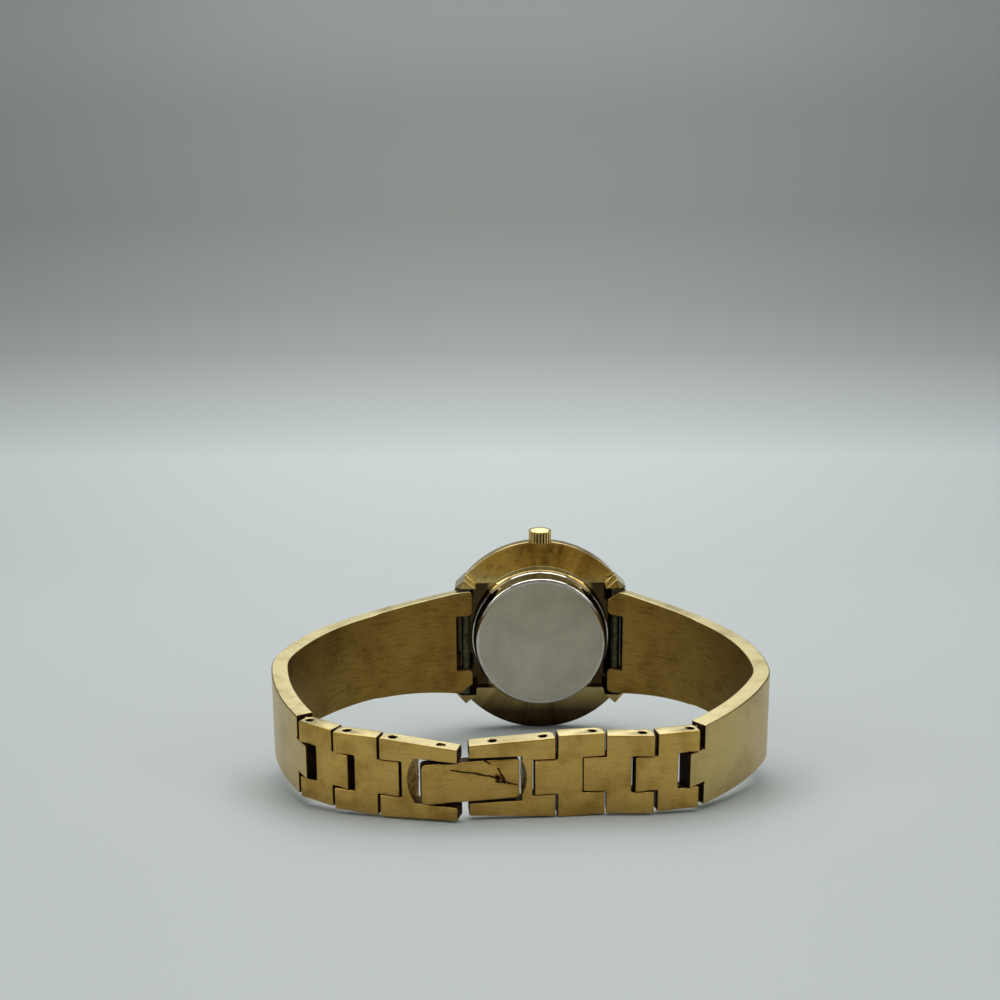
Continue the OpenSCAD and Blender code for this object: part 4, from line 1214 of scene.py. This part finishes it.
@dataclass
class Arms:
    """The two rigid curved arms, each a thick plate bent along three arcs.

    A place on the plate is its distance along the arm from the spring bar, its height across the arm
    and its side: the outer face at minus half the thickness and the wrist side at plus half. Each bend
    has its radius and its sweep in degrees. The creases are cuts across the plate beside the pin, the
    taper is plan distance and half width, and the rim is the share of the width that follows it.
    """

    half: float = 1.025
    edge: float = 0.16
    heading: float = 19.5
    root_reach: float = 0.9
    bends: tuple[tuple[float, float], ...] = ((28.5, 64.0), (10.0, 22.0), (41.5, 21.5))
    end_straight: float = 1.85
    shoulder: float = 1.55
    tongue_reach: float = 1.0
    tongue_half: float = 2.0
    notch_half: float = 4.05
    notch_depth: float = 1.45
    corner: tuple[float, float] = (0.88, 6.3)
    root_round: float = 0.65
    root_half: float = 7.8
    middle: tuple[float, float] = (13.0, 6.1)
    hollow_r: float = 120.0
    taper: tuple[tuple[float, float], ...] = ((-3.0, 8.5), (8.649, 6.1), (43.106, 4.65))
    step: float = 0.5
    creases: tuple[float, ...] = (-0.9, -0.3, 0.4)
    tip_bevel: float = 0.5
    rim: float = 0.93
    rim_tilt: float = 0.6
    rim_reach: float = 4.3

    def build(self) -> None:
        """Make and dress both arms."""
        for side in Side:
            worked = self.plate(f"bangle_arm_{side.value}")
            add_bevel(worked, self.edge)
            piece = settle(worked, self.stand(side).matrix())
            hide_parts(f"arm_{side.value}")
            dress(piece, ARM_FINISHES, f"arm_{side.value}")

    def stand(self, side: Side) -> Place:
        """Return an arm's place, swung so that its tongue meets the first link.

        Args:
            side: Which arm.

        Returns:
            The place: its origin on the spring bar, x and y in the band's plan and z across the band.
        """
        bar = hinge(f"arm_{side.value}_swing")
        reach = hinge(HINGES[side][0]) - bar
        outward = RIGHT_WAY if side is Side.RIGHT else -RIGHT_WAY
        pin = self.place(self.length(), 0.0)
        swing = math.atan2(reach.dot(FRONT_WAY), reach.dot(outward)) - math.atan2(pin.y, pin.x)
        x = (math.cos(swing) * outward + math.sin(swing) * FRONT_WAY).normalized()
        y = (-math.sin(swing) * outward + math.cos(swing) * FRONT_WAY).normalized()
        return Place(bar, x, y, x.cross(y))

    def length(self) -> float:
        """Return the distance along the arm from its bar to its pin."""
        return self.root_reach + sum(r * math.radians(a) for r, a in self.bends) + self.end_straight

    def path(self, along: float) -> tuple[Vector, float]:
        """Follow the arm's middle line.

        Args:
            along: Distance from the spring bar.

        Returns:
            The point in the arm's plan, and the heading in radians.
        """
        heading = math.radians(self.heading)
        spot = Vector((0, 0))
        left = along
        straight = min(left, self.root_reach)
        spot += straight * Vector((math.cos(heading), math.sin(heading)))
        left -= straight
        for radius, sweep in self.bends:
            if left <= 0:
                return spot, heading
            turn = min(left / radius, math.radians(sweep))
            centre = spot + radius * Vector((-math.sin(heading), math.cos(heading)))
            heading += turn
            spot = centre + radius * Vector((math.sin(heading), -math.cos(heading)))
            left -= turn * radius
        return spot + max(left, 0) * Vector((math.cos(heading), math.sin(heading))), heading

    def place(self, along: float, side: float) -> Vector:
        """Return the plan point at a distance along the arm and another towards the wrist."""
        spot, heading = self.path(along)
        return spot + side * Vector((-math.sin(heading), math.cos(heading)))

    def half_width(self, spot: Vector) -> float:
        """Return how far the arm reaches each way across the band: hollow near the case, then straight.

        Args:
            spot: A point in the arm's plan.

        Returns:
            Half the width there.
        """
        near, far = Vector((0, self.root_half)), Vector(self.middle)
        chord = far - near
        across = Vector((-chord.y, chord.x)).normalized()
        centre = (near + far) / 2 + across * math.sqrt(self.hollow_r**2 - (chord.length / 2) ** 2)
        hollow = centre.y - math.sqrt(self.hollow_r**2 - (spot.x - centre.x) ** 2)
        (v0, w0), (v1, w1), (v2, w2) = self.taper
        if spot.y < v1:
            taper = w0 + (w1 - w0) * (spot.y - v0) / (v1 - v0)
        else:
            taper = w1 + (w2 - w1) * min((spot.y - v1) / (v2 - v1), 1.0)
        return min(self.root_half, hollow, taper)

    def outline(self, stations: list[float]) -> list[tuple[float, float]]:
        """Return the flat plate's outline, with a notch at the case and a tongue at the first link.

        Args:
            stations: Distances along the arm at which the long edges have points.

        Returns:
            Distance along the arm and height across it of each point.
        """
        wide = {s: self.half_width(self.place(s, 0.0)) for s in [-self.root_reach, *stations]}
        last, tip = stations[-1], self.length() + self.tongue_reach
        root, soft = -self.root_reach, self.root_round
        eighths = [math.pi / 8 * i for i in range(5)]
        arc = [(soft * (1 - math.cos(a)), soft * (1 - math.sin(a))) for a in eighths]
        points = [(self.notch_depth, self.notch_half)]
        points += [(root + a, self.notch_half + b) for a, b in reversed(arc)]
        points += [(root + a, wide[root] - b) for a, b in arc]
        points += [(s, wide[s]) for s in stations]
        points += [(last, self.tongue_half), (tip, self.tongue_half), (tip, -self.tongue_half)]
        points += [(last, -self.tongue_half)]
        points += [(s, -wide[s]) for s in reversed(stations)]
        points += [(root, -self.corner[1])]
        points += [(root + a, -self.notch_half - b) for a, b in arc]
        return [*points, (self.notch_depth, -self.notch_half)]

    def plate(self, name: str) -> bpy.types.Object:
        """Bend the flat plate along the arm's middle line.

        Args:
            name: The piece's name.

        Returns:
            The plate in local millimetres, with a zone on each face.
        """
        pin = self.length()
        first, last, tip = self.corner[0], pin - self.shoulder, pin + self.tongue_reach
        count = round((last - first) / self.step)
        stations = [first + (last - first) * i / count for i in range(count + 1)]
        work = bmesh.new()
        work.faces.new([work.verts.new((s, w, 0)) for s, w in self.outline(stations)])
        for s in [*stations[1:-1], *(pin + crease for crease in self.creases)]:
            whole = work.verts[:] + work.edges[:] + work.faces[:]
            bmesh.ops.bisect_plane(work, geom=whole, dist=1e-4, plane_co=(s, 0, 0), plane_no=(1, 0, 0))
        raised = bmesh.ops.extrude_face_region(work, geom=work.faces[:])
        inner = {v for v in raised["geom"] if isinstance(v, bmesh.types.BMVert)}
        for vert in work.verts:
            along, across = vert.co.x, vert.co.y
            vert.tag = vert in inner
            if vert.tag and along > tip - self.tip_bevel:
                along = tip - self.tip_bevel
            spot = self.place(along, self.half if vert.tag else -self.half)
            wide = self.half_width(self.place(along, 0.0))
            if abs(across) > self.rim * wide:
                across *= self.half_width(spot) / wide
            vert.co = (spot.x, spot.y, across)
        bmesh.ops.recalc_face_normals(work, faces=work.faces)
        for face in work.faces:
            face.material_index = self.zone(face).value
        mesh = bpy.data.meshes.new(name)
        work.to_mesh(mesh)
        work.free()
        mesh.shade_smooth()
        for finish in ARM_FINISHES:
            mesh.materials.append(finish.build())
        return new_object(name, mesh)

    def zone(self, face: bmesh.types.BMFace) -> Zone:
        """Return the zone of a face on the plate, whose wrist side's corners are tagged.

        Args:
            face: The face.

        Returns:
            Its zone.
        """
        tags = [v.tag for v in face.verts]
        if all(tags):
            return Zone.INNER
        if not any(tags):
            return Zone.OUTER
        if abs(face.normal.z) > self.rim_tilt and abs(face.calc_center_median().z) > self.rim_reach:
            return Zone.EDGE
        return Zone.WALL


@dataclass
class Link:
    """One link's sizes in millimetres: prongs at the origin, tongue one pitch further."""

    body: str
    width: float = 9.1
    tongue: float = 1.0
    prong: float = 1.3
    notch: float = 1.2
    pitch: float = 5.5
    thick: float = 1.9
    tongue_w: float = 4.0
    play: float = 0.06
    shoulder: float = 1.55
    relief: float = 0.5
    bore: float = 0.43
    overlap: float = 0.5
    cut: float = 5.0

    def inputs(self) -> dict[str, object]:
        """Return the link tree's inputs for these sizes.

        Returns:
            The value of each input, by name.
        """
        end, tip = self.pitch - self.shoulder, self.pitch + self.tongue
        low = -self.thick / 2
        slant = self.relief * math.sqrt(2)
        return {
            "Block Size": (self.prong + end, self.width, self.thick),
            "Block Place": ((end - self.prong) / 2, 0.0, 0.0),
            "Tongue Size": (tip - end + self.overlap, self.tongue_w, self.thick),
            "Tongue Place": ((tip + end - self.overlap) / 2, 0.0, 0.0),
            "Notch Size": (self.notch + self.cut, self.tongue_w + 2 * self.play, self.cut),
            "Notch Place": ((self.notch - self.cut) / 2, 0.0, 0.0),
            "Bevel Size": (slant, THROUGH, slant),
            "Prong Bevel Place": (-self.prong, 0.0, low),
            "Tongue Bevel Place": (tip, 0.0, low),
            "Bore Radius": self.bore,
            "Bore Place": (self.pitch, 0.0, 0.0),
            "Finish": SATIN_GOLD.build(),
        }


@dataclass
class Band:
    """Links, clasp halves, flap and pins.

    The scoop is the sloped end of the clasp's window: its reach along the clasp half, half its width
    and the least part of a face's normal that points along the band.
    """

    edge: float = 0.14
    flap_edge: float = 0.16
    scoop: tuple[float, float] = (1.75, 3.1)
    scoop_half: float = 2.55
    scoop_tilt: float = 0.2
    links: tuple[Link, ...] = (
        Link("link_left_1", tongue=0.7, prong=0.85, notch=1.6),
        Link("link_left_2"),
        Link("link_right_1", width=9.5),
        Link("link_right_2"),
        Link("link_right_3", prong=0.85, notch=1.6),
    )

    def build(self, link_tree: LinkTree) -> None:
        """Make and dress the band.

        Args:
            link_tree: The tree that makes a link.
        """
        spans = self.spans()
        for link in self.links:
            place = band_place(*spans[link.body])
            worked = link_tree.run(f"band_{link.body}", link.inputs())
            add_bevel(worked, self.edge)
            piece = settle(worked, place.matrix())
            smooth(piece.data)
            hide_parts(link.body)
            dress(piece, LINK_FINISHES, link.body)
            repaint(piece, place, band_zone)
        for body in ("clasp_left", "clasp_right"):
            piece = softened_copy(body, f"band_{body}", self.edge, 3)
            dress(piece, (*LINK_FINISHES, SCOOP_GOLD), body)
            repaint(piece, band_place(*spans[body]), self.clasp_zone)
        flap = softened_copy("lever", "clasp_flap", self.flap_edge, 3)
        dress(flap, FLAP_FINISHES, "lever")
        repaint(flap, band_place(*spans["lever"]), band_zone)
        pins = [node for node in frame["nodes"] if node.startswith("pin_")]
        for node in (*pins, "lever_pin", "catch_studs"):
            finish = {"catch_studs": SATIN_GOLD, "pin_left_2": PIN_STEEL}.get(node, PIN_GOLD)
            dress(frame["nodes"][node], finish)

    def spans(self) -> dict[str, tuple[Vector, Vector]]:
        """Return the two hinges between which each piece lies, prongs first.

        Returns:
            The two points in metres, by body.
        """
        left, right = ([hinge(name) for name in HINGES[side]] for side in Side)
        latch = hinge("lever_open")
        return {
            "link_left_1": (left[0], left[1]),
            "link_left_2": (left[1], left[2]),
            "clasp_left": (left[2], self.catch()),
            "link_right_3": (right[0], right[1]),
            "link_right_2": (right[1], right[2]),
            "link_right_1": (right[2], right[3]),
            "clasp_right": (right[3], latch),
            "lever": (latch, self.catch()),
        }

    def catch(self) -> Vector:
        """Return the middle of the catch studs, from the lowest and highest corners of their node."""
        low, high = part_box("catch_studs")
        return (Vector(low) + Vector(high)) / 2

    def clasp_zone(self, normal: Vector, middle: Vector) -> int:
        """Return the zone of a face on a clasp half, where the window's sloped end has its own.

        Args:
            normal: The face's normal.
            middle: The face's middle, in millimetres.

        Returns:
            The number of its material slot.
        """
        zone = band_zone(normal, middle)
        low, high = self.scoop
        on_end = low < middle.x < high and abs(middle.y) < self.scoop_half and normal.x > self.scoop_tilt
        return Zone.SCOOP.value if zone == Zone.WALL.value and on_end else zone


@dataclass(frozen=True)
class SoftBox:
    """A square lamp that faces the watch: its place and side in metres, and its power in watts."""

    name: str
    spot: tuple[float, float, float]
    side: float
    power: float

    def build(self) -> None:
        """Hang the lamp."""
        light = bpy.data.lights.new(self.name, "AREA")
        light.shape, light.energy = "RECTANGLE", self.power
        light.size = light.size_y = self.side
        lamp = bpy.data.objects.new(self.name, light)
        lamp.location = self.spot
        lamp.rotation_mode = "QUATERNION"
        lamp.rotation_quaternion = (Vector((0, 0, 0.01)) - Vector(self.spot)).to_track_quat("-Z", "Y")
        bpy.context.scene.collection.objects.link(lamp)


@dataclass
class Studio:
    """Floor with a curved backdrop, soft lamps and the camera.

    The sheet starts in front, bends up behind the watch and ends at the top of its wall. Its colour
    goes from the near one to those of the rise, which change with the height up to the rise's top. These
    colours are painted light and shade: lighter towards the back of the floor, darker up the rise.
    Places are in millimetres and angles in degrees. The camera is rolled about one pixel.
    """

    eye: tuple[float, float, float] = (-2.307, -161.158, 37.07)
    pitch: float = -0.9446
    lens: float = 45.0
    sensor: float = 36.0
    picture: int = 1000
    roll: float = 0.3
    roll_pixel: tuple[float, float] = (540.6, 643.0)
    sheet_front: float = -3000.0
    sheet_half: float = 2400.0
    bend_start: float = 330.0
    bend_r: float = 260.0
    bend_steps: int = 48
    wall_top: float = 1400.0
    near_end: float = -40.0
    rise_top: float = 300.0
    near_colour: str = "#B5BCBB"
    rise_painted_shade: tuple[tuple[float, str], ...] = (
        (0.0, "#C0C7C7"), (0.16, "#C5CCCC"), (0.23, "#B4BBBB"), (0.307, "#A4AAA9"), (0.363, "#979C9B"),
        (0.457, "#8B908D"), (0.643, "#818681"), (1.0, "#909492"),
    )
    lamps: tuple[SoftBox, ...] = (
        SoftBox("soft_box_top", (0.0, 0.02, 0.75), 0.9, 4.9),
        SoftBox("soft_box_left", (-0.6, -0.35, 0.45), 0.4, 1.1),
        SoftBox("soft_box_right", (0.6, -0.35, 0.45), 0.4, 0.9),
        SoftBox("soft_box_back", (0.0, 0.42, 0.5), 0.4, 0.9),
    )

    def build(self) -> None:
        """Make the studio round the watch."""
        sheet = self.sheet()
        sheet.data.materials.append(self.paper())
        self.room()
        for lamp in self.lamps:
            lamp.build()
        self.camera()
        log.info("studio built")

    def sheet(self) -> bpy.types.Object:
        """Make the sheet that the watch lies on: flat, then curved up to a wall behind.

        Returns:
            The sheet, in row metres.
        """
        radius = self.bend_r
        side = [(self.sheet_front, 0.0), (self.bend_start, 0.0)]
        for i in range(1, self.bend_steps + 1):
            turn = math.pi / 2 * i / self.bend_steps
            side.append((self.bend_start + radius * math.sin(turn), radius - radius * math.cos(turn)))
        side.append((self.bend_start + radius, self.wall_top))
        work = bmesh.new()
        rows = [[work.verts.new((x, y, z)) for x in (-self.sheet_half, self.sheet_half)] for y, z in side]
        for near, far in zip(rows, rows[1:]):
            work.faces.new((near[0], near[1], far[1], far[0]))
        mesh = bpy.data.meshes.new("studio_sheet")
        work.to_mesh(mesh)
        work.free()
        mesh.transform(Matrix.Scale(MM, 4))
        mesh.shade_smooth()
        return new_object("studio_sheet", mesh)

    def paper(self) -> bpy.types.Material:
        """Make the sheet's paper: matte, with painted shade that makes it darker where it rises behind the watch.

        Returns:
            The material.
        """
        material = bpy.data.materials.new("paper_backdrop")
        material.use_nodes = True
        tree = material.node_tree
        tree.nodes.clear()
        spot = add_node(tree, "ShaderNodeTexCoord").outputs["Object"]
        parts = add_node(tree, "ShaderNodeSeparateXYZ", {"Vector": spot}).outputs
        # Painted light and shade: lighter towards the back of the floor, darker up the rise.
        rise = add_node(tree, "ShaderNodeMapRange", {0: parts["Z"], 1: 0.0, 2: self.rise_top * MM}).outputs[0]
        wall = add_node(tree, "ShaderNodeValToRGB", {"Fac": rise}, self.rise_painted_shade).outputs["Color"]
        far = add_node(
            tree, "ShaderNodeMapRange", {0: parts["Y"], 1: self.near_end * MM, 2: self.bend_start * MM}
        ).outputs[0]
        colour = add_node(
            tree, "ShaderNodeMix", {"Factor": far, "A": linear(self.near_colour), "B": wall}, data_type="RGBA"
        ).outputs["Result"]
        shader = add_node(tree, "ShaderNodeBsdfPrincipled", {"Base Color": colour, "Roughness": 0.6})
        add_node(tree, "ShaderNodeOutputMaterial", {"Surface": shader.outputs["BSDF"]})
        return material

    def room(self) -> None:
        """Add a dim even room round the watch."""
        world = bpy.data.worlds.new("room")
        bpy.context.scene.world = world
        world.use_nodes = True
        tree = world.node_tree
        tree.nodes.clear()
        room = add_node(tree, "ShaderNodeBackground", {"Color": linear("#DADDDD"), "Strength": 0.3})
        add_node(tree, "ShaderNodeOutputWorld", {"Surface": room.outputs[0]})

    def camera(self) -> None:
        """Set the camera as the photograph's."""
        data = bpy.data.cameras.new("camera")
        data.lens, data.sensor_width = self.lens, self.sensor
        data.clip_start, data.clip_end = 0.01, 10.0
        eye = bpy.data.objects.new("camera", data)
        level = Matrix.Rotation(math.radians(90 + self.pitch), 4, "X")
        focal = self.lens / self.sensor * self.picture
        right, down = (pixel - self.picture / 2 for pixel in self.roll_pixel)
        ray = Vector((right / focal, -down / focal, -1)).normalized()
        turned = Matrix.Rotation(math.radians(self.roll), 4, ray)
        eye.matrix_world = Matrix.Translation(Vector(self.eye) * MM) @ level @ turned
        bpy.context.scene.collection.objects.link(eye)
        bpy.context.scene.camera = eye


def main() -> None:
    """Build the studio and every piece of the watch."""
    bpy.context.scene.view_settings.view_transform = "Standard"
    Studio().build()
    rings, link_tree = RingTree(), LinkTree()
    Case().build(rings)
    Dial().build(rings)
    Movement().build()
    Arms().build()
    Band().build(link_tree)
    log.info("boxes written")


if __name__ == "__main__":
    logging.basicConfig(level=logging.INFO)
    main()
